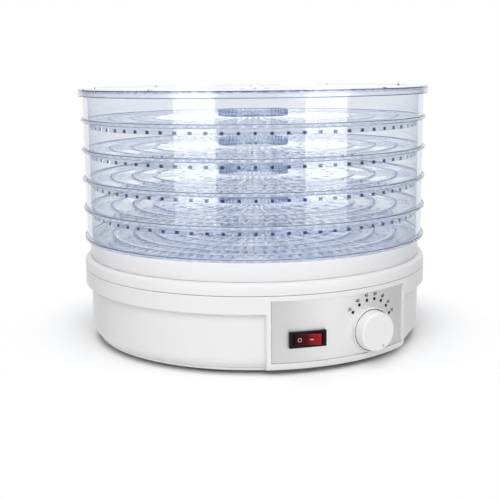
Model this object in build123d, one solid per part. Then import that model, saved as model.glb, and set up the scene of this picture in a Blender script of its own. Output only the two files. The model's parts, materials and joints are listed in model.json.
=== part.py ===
from build123d import *
from math import cos, hypot, radians, sin, tan
import os

# A stacking food dehydrator: a white base with fan, heater and controls, five clear trays and a lid.
# Millimetres, +Z up. Heights below count from the base's bottom edge, and the finished part is raised
# so that the feet stand on z = 0. Azimuths count from the front (-Y), positive towards +X.

# Fits
running_gap = 0.05
slip_gap = 0.3
stack_gap = 0.2

# Trays
tray_count = 5
tray_pitch = 26.84
tray_flange_r = 160.0
tray_flange_thickness = 2.2
tray_flange_reach = 2.5
tray_wall = 2.2
tray_floor = 1.8
skirt_clearance = 3.3
skirt_wall = 1.8
skirt_depth = 6.2
notch_count = 72
notch_size = 3.0
collar_r = 33.0
collar_wall = 1.8
collar_height = 6.8
collar_slot_count = 24
collar_slot_width = 1.6
floor_rib_pitch = 20.0
floor_rib_width = 1.6
floor_rib_height = 1.2
floor_slot_width = 3.0
floor_slot_margin = 3.6
floor_slots_per_ring = 6

# Lid
lid_clearance = 1.9
lid_wall = 2.0
lid_skirt = 4.2
lid_plate = 1.9
lid_bead_height = 0.9
lid_bead_width = 3.0
lid_bead_gaps = 10
lid_bead_gap_width = 4.5
lid_bead_gap_azimuth = 5.0
lid_vent_inner_r = 36.0
lid_vent_length = 22.0
lid_vent_rings = 2
lid_vent_web = 6.0
lid_vent_width = 3.0
lid_vents_per_ring = 24

# Base shells
shell_wall = 2.5
floor_thickness = 2.5
band_step = 0.6
band_bottom = 50.0
undercut_depth = 5.3
undercut_height = 43.0
base_corner_inset = 6.3
base_corner_height = 12.0
parting_height = 64.7
parting_gap = 0.4
lip_depth = 4.0
lip_thickness = 1.5
shoulder_start = 71.5
shoulder_inset = 1.2
crease_height = 75.0
crease_depth = 0.5
rest_clearance = 0.8
rest_collar_wall = 2.2
rest_collar_top = 91.84
deck_top = 79.5
deck_thickness = 2.5
deck_corner = 2.8

# Air path
outlet_r = 58.0
grille_ledge = 3.5
grille_thickness = 1.5
grille_slot_width = 3.0
grille_slot_length = 14.0
grille_hub_r = 10.0
grille_web = 2.5
grille_rings = 3
grille_slots_per_ring = 12
intake_inner_r = 34.0
intake_slot_length = 16.0
intake_slot_width = 3.4
intake_web = 4.0
intake_rings = 2
intake_slots = 24

# Control pad and panel
pad_azimuth = 29.1
panel_half_angle = 24.5
pad_border_angle = 1.7
panel_bottom = 8.2
panel_headroom = 4.1
panel_thickness = 1.2
panel_recess = 1.0
pad_foot = 6.0
pad_foot_inset = 9.0
pad_foot_lift = 0.6

# Rocker switch
switch_azimuth = 15.5
switch_height = 27.8
switch_frame_w = 31.9
switch_frame_h = 13.7
switch_frame_thickness = 2.0
switch_body_w = 29.8
switch_body_h = 12.2
switch_body_depth = 20.0
rocker_reach = 12.2
rocker_width = 9.0
rocker_pocket = 9.0
rocker_hinge_depth = 1.5
rocker_floor_depth = 4.5
rocker_valley = 2.3
rocker_half_tilt = 9.0
rocker_pin_r = 1.25
rocker_pin_length = 0.7
blade_width = 6.3
blade_thickness = 0.8
blade_length = 9.0
blade_spacing = 14.0

# Thermostat and knob
knob_azimuth = 37.5
knob_height = 28.0
knob_base_r = 17.3
knob_face_r = 16.3
knob_length = 9.7
knob_lift = 2.2
knob_edge = 1.4
knob_hollow_r = 12.5
knob_hollow_depth = 3.2
pointer_turn = 158.0
pointer_offset = 13.0
pointer_r = 1.3
pointer_depth = 0.5
ring_r = 19.0
ring_wall = 1.0
ring_height = 3.4
spindle_r = 3.0
spindle_flat = 1.8
spindle_reach = 9.0
neck_r = 5.0
neck_reach = 3.2
nut_across_flats = 14.0
nut_thickness = 2.6
thermostat_w = 34.0
thermostat_h = 30.0
thermostat_depth = 18.0
thermostat_shoulder = 10.0

# Motor
motor_post_r = 5.0
motor_post_top = 14.0
motor_screw_x = 20.0
bracket_width = 15.0
bracket_plate = 2.0
bracket_pad = 2.5
bracket_boss_r = 7.0
bush_r = 4.0
bush_length = 7.0
thrust_cap = 1.5
stator_height = 18.0
stator_half_width = 28.0
stator_front = 26.0
stator_leg_width = 14.0
stator_window = 24.0
stator_bridge = 6.0
stator_bore = 12.0
rotor_air_gap = 0.4
shaft_r = 2.5
bobbin_wall = 1.2
coil_thickness = 5.0
coil_half_length = 11.0

# Fan
fan_hub_r = 13.0
fan_hub_height = 12.0
fan_tip_clearance = 4.2
fan_blades = 7
fan_blade_thickness = 1.8
fan_blade_chord = 26.0
fan_blade_angle = 22.0
fan_clearance = 1.0
fan_clip_r = 6.0
fan_clip_thickness = 1.2

# Heater
shroud_r = 61.0
shroud_wall = 0.8
shroud_bottom = 46.0
shroud_tab_count = 3
shroud_tab_width = 12.0
shroud_tab_reach = 12.0
shroud_boss_r = 4.0
shroud_boss_height = 8.0
board_thickness = 1.0
board_bottom = 62.5
board_top = 74.6
board_tab = 2.0
board_tab_height = 4.0
coil_wire_r = 1.6
coil_rings = 4
coil_first_r = 16.0
coil_ring_pitch = 11.0
coil_lead_r = 0.8
cutout_width = 12.0
cutout_height = 8.0
cutout_thickness = 2.5
cutout_offset = 31.0

# Fasteners, feet, mains entry and leads
screw_r = 2.0
screw_head_r = 3.8
screw_head = 2.4
small_screw_r = 1.5
small_screw_head_r = 2.8
small_screw_head = 1.6
post_r = 4.6
post_inset = 11.0
post_count = 5
post_azimuth = 66.0
post_seat = 10.5
cover_screw_length = 18.0
foot_height = 3.5
foot_r = 9.0
foot_inset = 17.0
foot_count = 4
foot_azimuth = -15.0
foot_boss_height = 9.0
foot_screw_length = 9.0
foot_screw_sink = 0.4
gland_height = 16.0
gland_r = 7.0
gland_flange_r = 9.5
gland_flange = 2.0
gland_bore_r = 3.6
gland_inside = 8.0
block_x = 34.0
block_inset = 37.0
block_w = 30.0
block_d = 16.0
block_h = 12.0
block_ways = 3
wire_r = 1.1
wire_bend_r = 5.0
wire_lift = 0.5
wire_loop = 14.0
wire_lane = 27.0

# Worked-out sizes
tray_wall_r = tray_flange_r - tray_flange_reach
tray_wall_inner = tray_wall_r - tray_wall
skirt_r = tray_wall_inner - skirt_clearance
skirt_inner = skirt_r - skirt_wall
lid_inner = tray_wall_r + lid_clearance
lid_r = lid_inner + lid_wall
band_r = tray_flange_r + band_step
base_lower_r = band_r - undercut_depth
panel_top = parting_height - panel_headroom
base_bottom_r = base_lower_r - base_corner_inset
rest_collar_inner = skirt_r + rest_clearance
rest_collar_r = rest_collar_inner + rest_collar_wall
deck_outer_r = rest_collar_inner - deck_corner
post_circle = base_bottom_r - post_inset
foot_circle = base_bottom_r - foot_inset
block_y = base_bottom_r - block_inset
panel_r = band_r - panel_recess
panel_back_r = panel_r - panel_thickness
pad_inner_r = panel_back_r - shell_wall
pad_half_angle = panel_half_angle + pad_border_angle
deck_bottom = deck_top - deck_thickness
tray_height = tray_pitch - stack_gap
lowest_tray = rest_collar_top + stack_gap
lid_seat = lowest_tray + tray_count * tray_pitch
stator_bottom = motor_post_top + bracket_plate + bracket_pad
stator_top = stator_bottom + stator_height
upper_plate = stator_top + bracket_pad
shaft_foot = motor_post_top + bracket_plate - bush_length
fan_bottom = upper_plate + bush_length + fan_clearance
fan_top = fan_bottom + fan_hub_height
shroud_inner = shroud_r - shroud_wall
fan_tip_r = shroud_inner - fan_tip_clearance
core_y = stator_front + stator_window + stator_leg_width / 2
cover_screw_seat = screw_head + 2 * foot_screw_sink
tab_circle = shroud_r + shroud_tab_reach / 2 + 1


def turned(*points):
    """A full turn of a closed outline given as (radius, height) points."""
    return revolve(make_face(Polyline(*[(r, 0, z) for r, z in points], close=True)), Axis.Z, 360)


def tube(outer, inner, low, high):
    """A straight tube about Z."""
    return turned((inner, low), (outer, low), (outer, high), (inner, high))


def disc(radius, low, high, x=0, y=0):
    """A solid cylinder along Z."""
    return Pos(x, y, (low + high) / 2) * Cylinder(radius, high - low)


def block(size_x, size_y, low, high, x=0, y=0):
    """A box given by its plan size, plan centre and the heights of its faces."""
    return Pos(x, y, (low + high) / 2) * Box(size_x, size_y, high - low)


def sector(inner, outer, low, high, azimuth, half_angle):
    """A slice of a ring centred on an azimuth."""
    outline = Polyline((inner, 0, low), (outer, 0, low), (outer, 0, high), (inner, 0, high), close=True)
    start = azimuth - half_angle - 90
    return Rot(0, 0, start) * revolve(make_face(outline), Axis.Z, 2 * half_angle)


def round_points(radius, count, azimuth=0):
    """Plan points spread evenly round a circle, the first at an azimuth."""
    angles = [radians(azimuth + 360 * k / count) for k in range(count)]
    return [(radius * sin(a), -radius * cos(a)) for a in angles]


def around(shape, count, azimuth=0):
    """Copies of a shape that points along +X, spread evenly round Z."""
    return [Rot(0, 0, azimuth - 90 + 360 * k / count) * shape for k in range(count)]


def slot_outlines(inner, outer, width, count):
    """Closed outlines of radial slots spread round a circle."""
    corners = [(inner, -width / 2), (outer, -width / 2), (outer, width / 2), (inner, width / 2)]
    outline = Wire.make_polygon([Vector(x, y, 0) for x, y in corners], close=True)
    return around(outline, count)


def pierced_plate(outer, inner, thickness, outlines):
    """A flat ring of material with slots through it, lying on z = 0."""
    holes = list(outlines)
    if inner:
        holes.append(Wire.make_circle(inner))
    return extrude(Face(Wire.make_circle(outer), holes), thickness, dir=(0, 0, 1))


def panel_place(azimuth, height, facing):
    """A frame on the panel's face at an azimuth: X to the right, Y up, Z towards the facing azimuth."""
    a = radians(azimuth)
    b = radians(facing)
    origin = Vector(sin(a), -cos(a), 0) * panel_r + Vector(0, 0, height)
    return Location(Plane(origin=origin, x_dir=(cos(b), sin(b), 0), z_dir=(sin(b), -cos(b), 0)))


def switch_place():
    """The switch's frame, square to the panel."""
    return panel_place(switch_azimuth, switch_height, switch_azimuth)


def knob_place():
    """The knob's frame, square to the pad's middle, the way its mould opens."""
    return panel_place(knob_azimuth, knob_height, pad_azimuth)


def panel_cylinder():
    """What the panel's curved face encloses, for shaping the backs of what sits on it."""
    return disc(panel_r, -panel_top, 2 * panel_top)


def screw(radius, length, head_r, head):
    """A screw that points up: its head's top face on z = 0, its shank above."""
    return disc(head_r, -head, 0) + disc(radius, 0, length)


# Trays and lid

def tray():
    """One tray with its flange's underside on z = 0."""
    rib_count = int((skirt_inner - collar_r - floor_rib_pitch / 2) // floor_rib_pitch)
    rib_radii = [collar_r + floor_rib_pitch * (k + 1) for k in range(rib_count)]
    edges = [collar_r] + rib_radii + [skirt_inner]
    slots = []
    for k in range(len(edges) - 1):
        inner = edges[k] + floor_slot_margin
        outer = edges[k + 1] - floor_slot_margin
        slots += slot_outlines(inner, outer, floor_slot_width, floor_slots_per_ring * (k + 2))
    plate = pierced_plate(skirt_inner, collar_r, tray_floor, slots)
    rim = turned(
        (skirt_inner, -skirt_depth), (skirt_r, -skirt_depth), (skirt_r, 0),
        (tray_flange_r, 0), (tray_flange_r, tray_flange_thickness), (tray_wall_r, tray_flange_thickness),
        (tray_wall_r, tray_height), (tray_wall_inner, tray_height), (tray_wall_inner, tray_floor),
        (skirt_inner, tray_floor),
    )
    notch = Pos(skirt_r - skirt_wall / 2, 0, -skirt_depth) * Box(2 * skirt_wall, notch_size, 2 * notch_size)
    rim -= around(notch, notch_count)
    collar = tube(collar_r, collar_r - collar_wall, 0, collar_height)
    slot_low = 2 * tray_floor
    slit_x = collar_r - collar_wall / 2
    slit = block(2 * collar_wall, collar_slot_width, slot_low, 2 * collar_height, x=slit_x)
    collar -= around(slit, collar_slot_count)
    ribs = [
        tube(r + floor_rib_width / 2, r - floor_rib_width / 2, tray_floor, tray_floor + floor_rib_height)
        for r in rib_radii
    ]
    return rim + plate + collar + ribs


def lid():
    """The lid with its plate's underside on z = 0."""
    slots = []
    for k in range(lid_vent_rings):
        start = lid_vent_inner_r + k * (lid_vent_length + lid_vent_web)
        slots += slot_outlines(start, start + lid_vent_length, lid_vent_width, lid_vents_per_ring * (k + 1))
    plate = pierced_plate(lid_inner, 0, lid_plate, slots)
    bead_top = lid_plate + lid_bead_height
    rim = turned(
        (lid_inner, -lid_skirt), (lid_r, -lid_skirt), (lid_r, bead_top), (lid_r - lid_bead_width, bead_top),
        (lid_r - lid_bead_width, lid_plate), (lid_inner, lid_plate),
    )
    gap = block(3 * lid_bead_width, lid_bead_gap_width, lid_plate, 2 * bead_top, x=lid_r - lid_bead_width / 2)
    rim -= around(gap, lid_bead_gaps, lid_bead_gap_azimuth)
    return plate + rim


# Base shells

def base_housing():
    """The lower shell: floor with air intake, wall, band, control pad, bosses and motor posts."""
    corner = TangentArc((base_lower_r, 0, base_corner_height), (base_bottom_r, 0, 0), tangent=(0, 0, -1))
    cove = TangentArc((base_lower_r, 0, undercut_height), (band_r, 0, band_bottom), tangent=(0, 0, 1))
    outline = [
        Line((0, 0, 0), (base_bottom_r, 0, 0)),
        corner,
        Line((base_lower_r, 0, base_corner_height), (base_lower_r, 0, undercut_height)),
        cove,
        Line((band_r, 0, band_bottom), (band_r, 0, parting_height)),
        Line((band_r, 0, parting_height), (0, 0, parting_height)),
        Line((0, 0, parting_height), (0, 0, 0)),
    ]
    body = revolve(make_face(outline), Axis.Z, 360)
    lower_inner = base_lower_r - shell_wall
    band_inner = band_r - shell_wall
    body -= turned(
        (0, floor_thickness), (base_bottom_r - shell_wall, floor_thickness),
        (lower_inner, base_corner_height), (lower_inner, undercut_height + shell_wall),
        (band_inner, band_bottom + shell_wall), (band_inner, 2 * parting_height), (0, 2 * parting_height),
    )
    pad_outline = Polyline(
        (pad_inner_r, 0, pad_foot), (base_bottom_r - shell_wall, 0, pad_foot_lift),
        (band_r - pad_foot_inset, 0, pad_foot_lift), (band_r, 0, pad_foot),
        (band_r, 0, parting_height), (pad_inner_r, 0, parting_height), close=True,
    )
    pad_turn = Rot(0, 0, pad_azimuth - pad_half_angle - 90)
    adds = [pad_turn * revolve(make_face(pad_outline), Axis.Z, 2 * pad_half_angle)]
    cuts = [
        sector(
            lower_inner - 2 * shell_wall, pad_inner_r, panel_bottom, parting_height + 1,
            pad_azimuth, panel_half_angle,
        ),
        sector(panel_back_r, 2 * band_r, panel_bottom, panel_top, pad_azimuth, panel_half_angle),
        switch_opening(),
        neck_opening(),
        Pos(0, base_lower_r, gland_height) * Rot(90, 0, 0) * Cylinder(gland_r + running_gap, 8 * shell_wall),
    ]
    intake_pitch = intake_slot_length + intake_web
    for k in range(intake_rings):
        middle = intake_inner_r + intake_slot_length / 2 + k * intake_pitch
        slot = block(intake_slot_length, intake_slot_width, -1, 2 * floor_thickness, x=middle)
        cuts += around(slot, intake_slots)
    for x, y in round_points(post_circle, post_count, post_azimuth):
        adds.append(disc(post_r, floor_thickness, post_seat, x, y))
        cuts.append(disc(screw_r + running_gap, -1, 2 * post_seat, x, y))
        cuts.append(disc(screw_head_r + slip_gap, -1, cover_screw_seat, x, y))
    for x, y in round_points(foot_circle, foot_count, foot_azimuth):
        adds.append(disc(post_r, floor_thickness, foot_boss_height, x, y))
        cuts.append(disc(screw_r + running_gap, -1, foot_boss_height - 1, x, y))
    for side in (-1, 1):
        x = side * motor_screw_x
        adds.append(disc(motor_post_r, floor_thickness, motor_post_top, x))
        cuts.append(disc(screw_r + running_gap, floor_thickness, 2 * motor_post_top, x))
    return body + adds - cuts


def switch_opening():
    """The rectangular hole that the switch's body passes through."""
    hole = Box(switch_body_w + 2 * slip_gap, switch_body_h + 2 * slip_gap, 4 * switch_body_depth)
    return switch_place() * hole


def neck_opening():
    """The round hole that the thermostat's neck passes through."""
    return knob_place() * Cylinder(neck_r + running_gap, 4 * thermostat_depth)


def top_cover():
    """The upper shell: band, shoulder, collar for the trays, deck with outlet, posts and bosses."""
    low = parting_height + parting_gap
    lip_r = band_r - shell_wall - slip_gap
    lip_inner = lip_r - lip_thickness
    ledge_r = outlet_r + grille_ledge
    ledge = deck_top - grille_thickness
    crest = (rest_collar_r + shoulder_inset, 0, crease_height + crease_depth)
    points = [
        crest, (rest_collar_r, 0, crease_height), (rest_collar_r, 0, rest_collar_top),
        (rest_collar_inner, 0, rest_collar_top), (rest_collar_inner, 0, deck_top), (ledge_r, 0, deck_top),
        (ledge_r, 0, ledge), (outlet_r, 0, ledge), (outlet_r, 0, deck_bottom), (deck_outer_r, 0, deck_bottom),
        (lip_inner, 0, shoulder_start), (lip_inner, 0, parting_height - lip_depth),
        (lip_r, 0, parting_height - lip_depth), (lip_r, 0, low), (band_r, 0, low),
        (band_r, 0, shoulder_start),
    ]
    shoulder = TangentArc((band_r, 0, shoulder_start), crest, tangent=(0, 0, 1))
    body = revolve(make_face([Polyline(*points), shoulder]), Axis.Z, 360)
    lip_gap = pad_half_angle + pad_border_angle
    body -= sector(lip_inner - 1, band_r, parting_height - 2 * lip_depth, low, pad_azimuth, lip_gap)
    adds = []
    cuts = []
    for x, y in round_points(post_circle, post_count, post_azimuth):
        adds.append(disc(post_r, post_seat, deck_bottom, x, y))
        cuts.append(disc(screw_r + running_gap, 0, cover_screw_seat + cover_screw_length + 1, x, y))
    boss_low = deck_bottom - shroud_boss_height
    for x, y in round_points(tab_circle, shroud_tab_count, 180):
        adds.append(disc(shroud_boss_r, boss_low, deck_bottom, x, y))
        cuts.append(disc(small_screw_r + running_gap, 0, deck_bottom, x, y))
    return body + adds - cuts


def outlet_grille():
    """The slotted grille that lies in the deck's ledge."""
    slots = []
    pitch = grille_slot_length + grille_web
    for k in range(grille_rings):
        inner = grille_hub_r + k * pitch
        count = grille_slots_per_ring * (k + 1)
        slots += slot_outlines(inner, inner + grille_slot_length, grille_slot_width, count)
    plate = pierced_plate(outlet_r + grille_ledge - slip_gap, 0, grille_thickness, slots)
    return Pos(0, 0, deck_top - grille_thickness) * plate


# Controls

def control_panel():
    """The thin curved plate in the pad's recess."""
    plate = sector(
        panel_back_r, panel_r, panel_bottom + slip_gap, panel_top - slip_gap, pad_azimuth,
        panel_half_angle - slip_gap / 2,
    )
    return plate - switch_opening() - neck_opening()


def switch_body():
    """The switch's housing with its frame, pocket and pivot holes."""
    frame = block(switch_frame_w, switch_frame_h, -switch_frame_thickness, switch_frame_thickness)
    core = block(switch_body_w, switch_body_h, -switch_body_depth, 0)
    place = switch_place()
    body = place * frame - panel_cylinder()
    body += place * core
    pocket_w = 2 * (rocker_reach + slip_gap)
    pocket_h = rocker_width + 2 * slip_gap
    body -= place * block(pocket_w, pocket_h, -rocker_pocket, 2 * switch_frame_thickness)
    pin = Cylinder(rocker_pin_r + running_gap, switch_body_h)
    pivot = Pos(0, 0, -rocker_hinge_depth) * Rot(90, 0, 0) * pin
    return body - place * pivot


def rocker():
    """The rocker, at rest with its left half pressed."""
    rise = tan(radians(rocker_half_tilt)) * 2 * rocker_reach
    tip = 2 * rocker_reach
    outline = Polyline(
        (-tip, -rocker_floor_depth), (tip, -rocker_floor_depth), (tip, rocker_valley + rise),
        (0, rocker_valley), (-tip, rocker_valley + rise), close=True,
    )
    section = make_face(outline) & Pos(0, -rocker_hinge_depth) * Circle(rocker_reach)
    body = Pos(0, rocker_width / 2, 0) * Rot(90, 0, 0) * extrude(section, rocker_width)
    pin_length = rocker_width + 2 * rocker_pin_length
    body += Pos(0, 0, -rocker_hinge_depth) * Rot(90, 0, 0) * Cylinder(rocker_pin_r, pin_length)
    hinge = Pos(0, 0, -rocker_hinge_depth)
    tilt = hinge * Rot(0, -rocker_half_tilt, 0) * Pos(0, 0, rocker_hinge_depth)
    return switch_place() * tilt * body


def switch_terminals():
    """Two flat blades out of the switch's back."""
    place = switch_place()
    blade = block(blade_thickness, blade_width, -switch_body_depth - blade_length, -switch_body_depth)
    return [place * Pos(side * blade_spacing / 2, 0, 0) * blade for side in (-1, 1)]


def knob():
    """The thermostat knob: a tapered cup with a pointer dimple."""
    top = knob_lift + knob_length
    body = turned((0, knob_lift), (knob_base_r, knob_lift), (knob_face_r, top), (0, top))
    body = fillet(body.faces().sort_by(Axis.Z)[-1].edges(), knob_edge)
    body -= disc(knob_hollow_r, 0, knob_lift + knob_hollow_depth)
    body -= spindle_section(running_gap, 0, spindle_reach + running_gap)
    a = radians(pointer_turn)
    dimple = disc(pointer_r, top - pointer_depth, top + 1, pointer_offset * sin(a), pointer_offset * cos(a))
    return knob_place() * (body - dimple)


def spindle_section(gap, low, high):
    """A round shaft with one flat, enlarged by a gap."""
    round_part = disc(spindle_r + gap, low, high)
    flat = block(4 * spindle_r, 2 * spindle_r, low, high, y=spindle_flat + gap + spindle_r)
    return round_part - flat


def knob_ring():
    """The raised ring that the knob turns in, shaped to the panel's curve."""
    ring = tube(ring_r, ring_r - ring_wall, -ring_r, ring_height)
    return knob_place() * ring - panel_cylinder()


def thermostat_spindle():
    """The turning spindle, with its flat in the knob."""
    low = -thermostat_shoulder
    shaft = disc(spindle_r, low, knob_lift) + spindle_section(0, knob_lift, spindle_reach)
    return knob_place() * shaft


def thermostat_body():
    """The thermostat's box and hollow neck."""
    front = -thermostat_shoulder
    case = block(thermostat_w, thermostat_h, front - thermostat_depth, front)
    neck = disc(neck_r, front, neck_reach)
    bore = disc(spindle_r + running_gap, front - running_gap, 2 * neck_reach)
    return knob_place() * (case + neck - bore)


def thermostat_nut():
    """The nut that clamps the neck to the panel, shaped to the panel's curve."""
    hexagon = RegularPolygon(nut_across_flats / 2, 6, major_radius=False)
    nut = Pos(0, 0, -nut_thickness) * extrude(hexagon, 2 * nut_thickness)
    nut -= disc(neck_r + running_gap, -2 * nut_thickness, 2 * nut_thickness)
    return knob_place() * nut - panel_cylinder()


# Motor and fan

def stator_plan():
    """The laminations' outline: a frame round the rotor bore and the coil window."""
    back = core_y + stator_leg_width / 2
    middle = (back - stator_front) / 2
    frame = Pos(0, middle) * Rectangle(2 * stator_half_width, back + stator_front)
    window_w = 2 * (stator_half_width - stator_bridge - 1)
    window = Pos(0, stator_front + stator_window / 2) * Rectangle(window_w, stator_window)
    plan = frame - window - Circle(stator_bore)
    for side in (-1, 1):
        plan -= Pos(side * motor_screw_x, 0) * Circle(screw_r + running_gap)
    return plan


def motor_stator():
    """The lamination stack."""
    return Pos(0, 0, stator_bottom) * extrude(stator_plan(), stator_height)


def coil_layer(inner_gap, outer_gap, half_length):
    """A sleeve round the stator's core leg, from one gap to another off the leg."""
    middle = (stator_bottom + stator_top) / 2
    sleeve = Box(2 * half_length, stator_leg_width + 2 * outer_gap, stator_height + 2 * outer_gap)
    sleeve -= Box(4 * half_length, stator_leg_width + 2 * inner_gap, stator_height + 2 * inner_gap)
    return Pos(0, core_y, middle) * sleeve


def motor_bobbin():
    """The coil former: a sleeve with a cheek at each end."""
    outer = running_gap + bobbin_wall
    body = coil_layer(running_gap, outer, coil_half_length)
    cheek = coil_layer(running_gap, outer + coil_thickness, bobbin_wall / 2)
    for side in (-1, 1):
        body += Pos(side * (coil_half_length + bobbin_wall / 2), 0, 0) * cheek
    return body


def motor_coil():
    """The winding between the bobbin's cheeks."""
    inner = 2 * running_gap + bobbin_wall
    return coil_layer(inner, bobbin_wall + coil_thickness, coil_half_length - running_gap)


def motor_bracket(plate_low, pad_low, boss_low, boss_high):
    """A bearing bracket across the stator: plate, end pads and bush boss."""
    length = 2 * (motor_screw_x + motor_post_r)
    body = block(length, bracket_width, plate_low, plate_low + bracket_plate)
    for side in (-1, 1):
        body += block(2 * motor_post_r, bracket_width, pad_low, pad_low + bracket_pad, x=side * motor_screw_x)
        body -= disc(screw_r + running_gap, 0, 2 * fan_top, side * motor_screw_x)
    body += disc(bracket_boss_r, boss_low, boss_high)
    return body - disc(bush_r + running_gap, shaft_foot, 2 * fan_top)


def motor_bracket_lower():
    """The lower bracket, closed under the shaft."""
    plate_top = motor_post_top + bracket_plate
    return motor_bracket(motor_post_top, plate_top, shaft_foot - thrust_cap, plate_top)


def motor_bracket_upper():
    """The upper bracket, open for the shaft."""
    return motor_bracket(upper_plate, stator_top, upper_plate, upper_plate + bush_length)


def motor_bushes():
    """The two plain bearings."""
    bore = shaft_r + running_gap
    return [tube(bush_r, bore, low, low + bush_length) for low in (shaft_foot, upper_plate)]


def motor_rotor():
    """The rotor, pressed on the shaft."""
    return tube(stator_bore - rotor_air_gap, shaft_r, stator_bottom, stator_top)


def motor_shaft():
    """The vertical shaft from the thrust cap to the fan."""
    return disc(shaft_r, shaft_foot + running_gap, fan_top + fan_clip_thickness)


def motor_screws():
    """Two long screws through brackets and stator into the posts."""
    top = upper_plate + bracket_plate
    fastener = Rot(180, 0, 0) * screw(screw_r, top - floor_thickness - 1, screw_head_r, screw_head)
    return [Pos(side * motor_screw_x, 0, top) * fastener for side in (-1, 1)]


def fan():
    """An axial fan: a hub with twisted flat blades."""
    hub = tube(fan_hub_r, shaft_r, fan_bottom, fan_top)
    span = fan_tip_r - fan_hub_r + fan_blade_thickness
    blade = Pos(fan_tip_r - span / 2, 0, (fan_bottom + fan_top) / 2) * Rot(fan_blade_angle, 0, 0) * Box(
        span, fan_blade_chord, fan_blade_thickness)
    reach = tube(fan_tip_r, fan_hub_r - fan_blade_thickness, fan_bottom, fan_top)
    blades = [turn & reach for turn in around(blade, fan_blades)]
    return hub + blades


def fan_clip():
    """The push-on clip that holds the fan on its shaft."""
    return tube(fan_clip_r, shaft_r, fan_top, fan_top + fan_clip_thickness)


# Heater

def heater_shroud():
    """The duct round fan and heater, with tabs to the deck's bosses and slots for the boards."""
    body = tube(shroud_r, shroud_inner, shroud_bottom, deck_bottom)
    tab_top = deck_bottom - shroud_boss_height
    tab_x = shroud_r - shroud_wall / 2 + shroud_tab_reach / 2
    tab = block(shroud_tab_reach, shroud_tab_width, tab_top - shroud_wall, tab_top, x=tab_x)
    tab -= disc(small_screw_r + running_gap, 0, deck_top, tab_circle)
    body += around(tab, shroud_tab_count, 180)
    middle = (board_bottom + board_top) / 2
    window = Box(2 * (shroud_r + 1), board_thickness + slip_gap, board_tab_height + slip_gap)
    for turn in (45, 135):
        body -= Rot(0, 0, turn) * Pos(0, 0, middle) * window
    return body


def shroud_screws():
    """The screws that hold the shroud's tabs to the deck."""
    seat = deck_bottom - shroud_boss_height - shroud_wall
    fastener = screw(small_screw_r, shroud_boss_height - 1, small_screw_head_r, small_screw_head)
    return [Pos(x, y, seat) * fastener for x, y in round_points(tab_circle, shroud_tab_count, 180)]


def coil_ring_radii():
    """Radii of the heating coil's turns."""
    return [coil_first_r + k * coil_ring_pitch for k in range(coil_rings)]


def heater_boards():
    """Two insulating boards that cross at half height, with tabs through the shroud."""
    middle = (board_bottom + board_top) / 2
    height = board_top - board_bottom
    plain = Pos(0, 0, middle) * Box(2 * (shroud_inner - slip_gap), board_thickness, height)
    plain += Pos(0, 0, middle) * Box(2 * (shroud_r + board_tab), board_thickness, board_tab_height)
    for r in coil_ring_radii():
        plain -= Pos(0, 0, board_top) * Torus(r, coil_wire_r + running_gap)
    notch = Box(board_thickness + 2 * running_gap, 2 * shroud_r, height)
    lower = plain - Pos(0, 0, middle + height / 2 - running_gap) * notch
    upper = plain - Pos(0, 0, middle - height / 2 + running_gap) * notch
    return [Rot(0, 0, 45) * lower, Rot(0, 0, 135) * upper]


def heater_coil():
    """The heating coil: rings in the boards' notches, joined by one lead."""
    rings = [Pos(0, 0, board_top) * Torus(r, coil_wire_r) for r in coil_ring_radii()]
    radii = coil_ring_radii()
    length = radii[-1] - radii[0]
    lead = Pos(radii[0] + length / 2, 0, board_top) * Rot(0, 90, 0) * Cylinder(coil_lead_r, length)
    return lead + rings


def thermal_cutout():
    """The over-temperature cut-out on one board's face."""
    y = (board_thickness + cutout_thickness) / 2
    low = board_bottom + 1
    case = block(cutout_width, cutout_thickness, low, low + cutout_height, x=cutout_offset, y=y)
    return Rot(0, 0, 45) * case


# Fasteners, feet, mains entry and leads

def cover_screws():
    """Screws from below the floor into the cover's posts."""
    fastener = screw(screw_r, cover_screw_length, screw_head_r, screw_head)
    places = round_points(post_circle, post_count, post_azimuth)
    return [Pos(x, y, cover_screw_seat) * fastener for x, y in places]


def feet():
    """Rubber feet with a sunk screw hole."""
    pad = disc(foot_r, -foot_height, 0)
    pad -= disc(screw_r + running_gap, -foot_height, 0)
    pad -= disc(screw_head_r + slip_gap, -foot_height, foot_screw_sink + screw_head - foot_height)
    pad = chamfer(pad.faces().sort_by(Axis.Z)[0].edges().sort_by(SortBy.LENGTH)[-1], foot_height / 4)
    return [Pos(x, y, 0) * pad for x, y in round_points(foot_circle, foot_count, foot_azimuth)]


def foot_screws():
    """Screws through the feet into the floor's bosses."""
    seat = foot_screw_sink + screw_head - foot_height
    fastener = screw(screw_r, foot_screw_length - foot_height / 4, screw_head_r, screw_head)
    return [Pos(x, y, seat) * fastener for x, y in round_points(foot_circle, foot_count, foot_azimuth)]


def cord_gland():
    """The cord inlet's bush at the back of the base."""
    inside = -shell_wall - gland_inside
    body = disc(gland_r, inside, 0) + disc(gland_flange_r, 0, gland_flange)
    body -= disc(gland_bore_r, 2 * inside, 2 * gland_flange)
    body = Pos(0, base_lower_r, gland_height) * Rot(-90, 0, 0) * body
    return body


def block_hole_offsets():
    """Where the terminal block's screws stand along it."""
    pitch = block_w / block_ways
    return [pitch * (k - (block_ways - 1) / 2) for k in range(block_ways)]


def terminal_block():
    """The mains terminal block on the floor."""
    top = floor_thickness + block_h
    body = block(block_w, block_d, floor_thickness, top, block_x, block_y)
    for offset in block_hole_offsets():
        low = floor_thickness + block_h / 3
        body -= disc(small_screw_r + running_gap, low, top + 1, block_x + offset, block_y)
    return body


def terminal_screws():
    """The terminal block's clamping screws."""
    top = floor_thickness + block_h
    fastener = Rot(180, 0, 0) * screw(small_screw_r, block_h / 2, small_screw_head_r, small_screw_head)
    return [Pos(block_x + offset, block_y, top) * fastener for offset in block_hole_offsets()]


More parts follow.
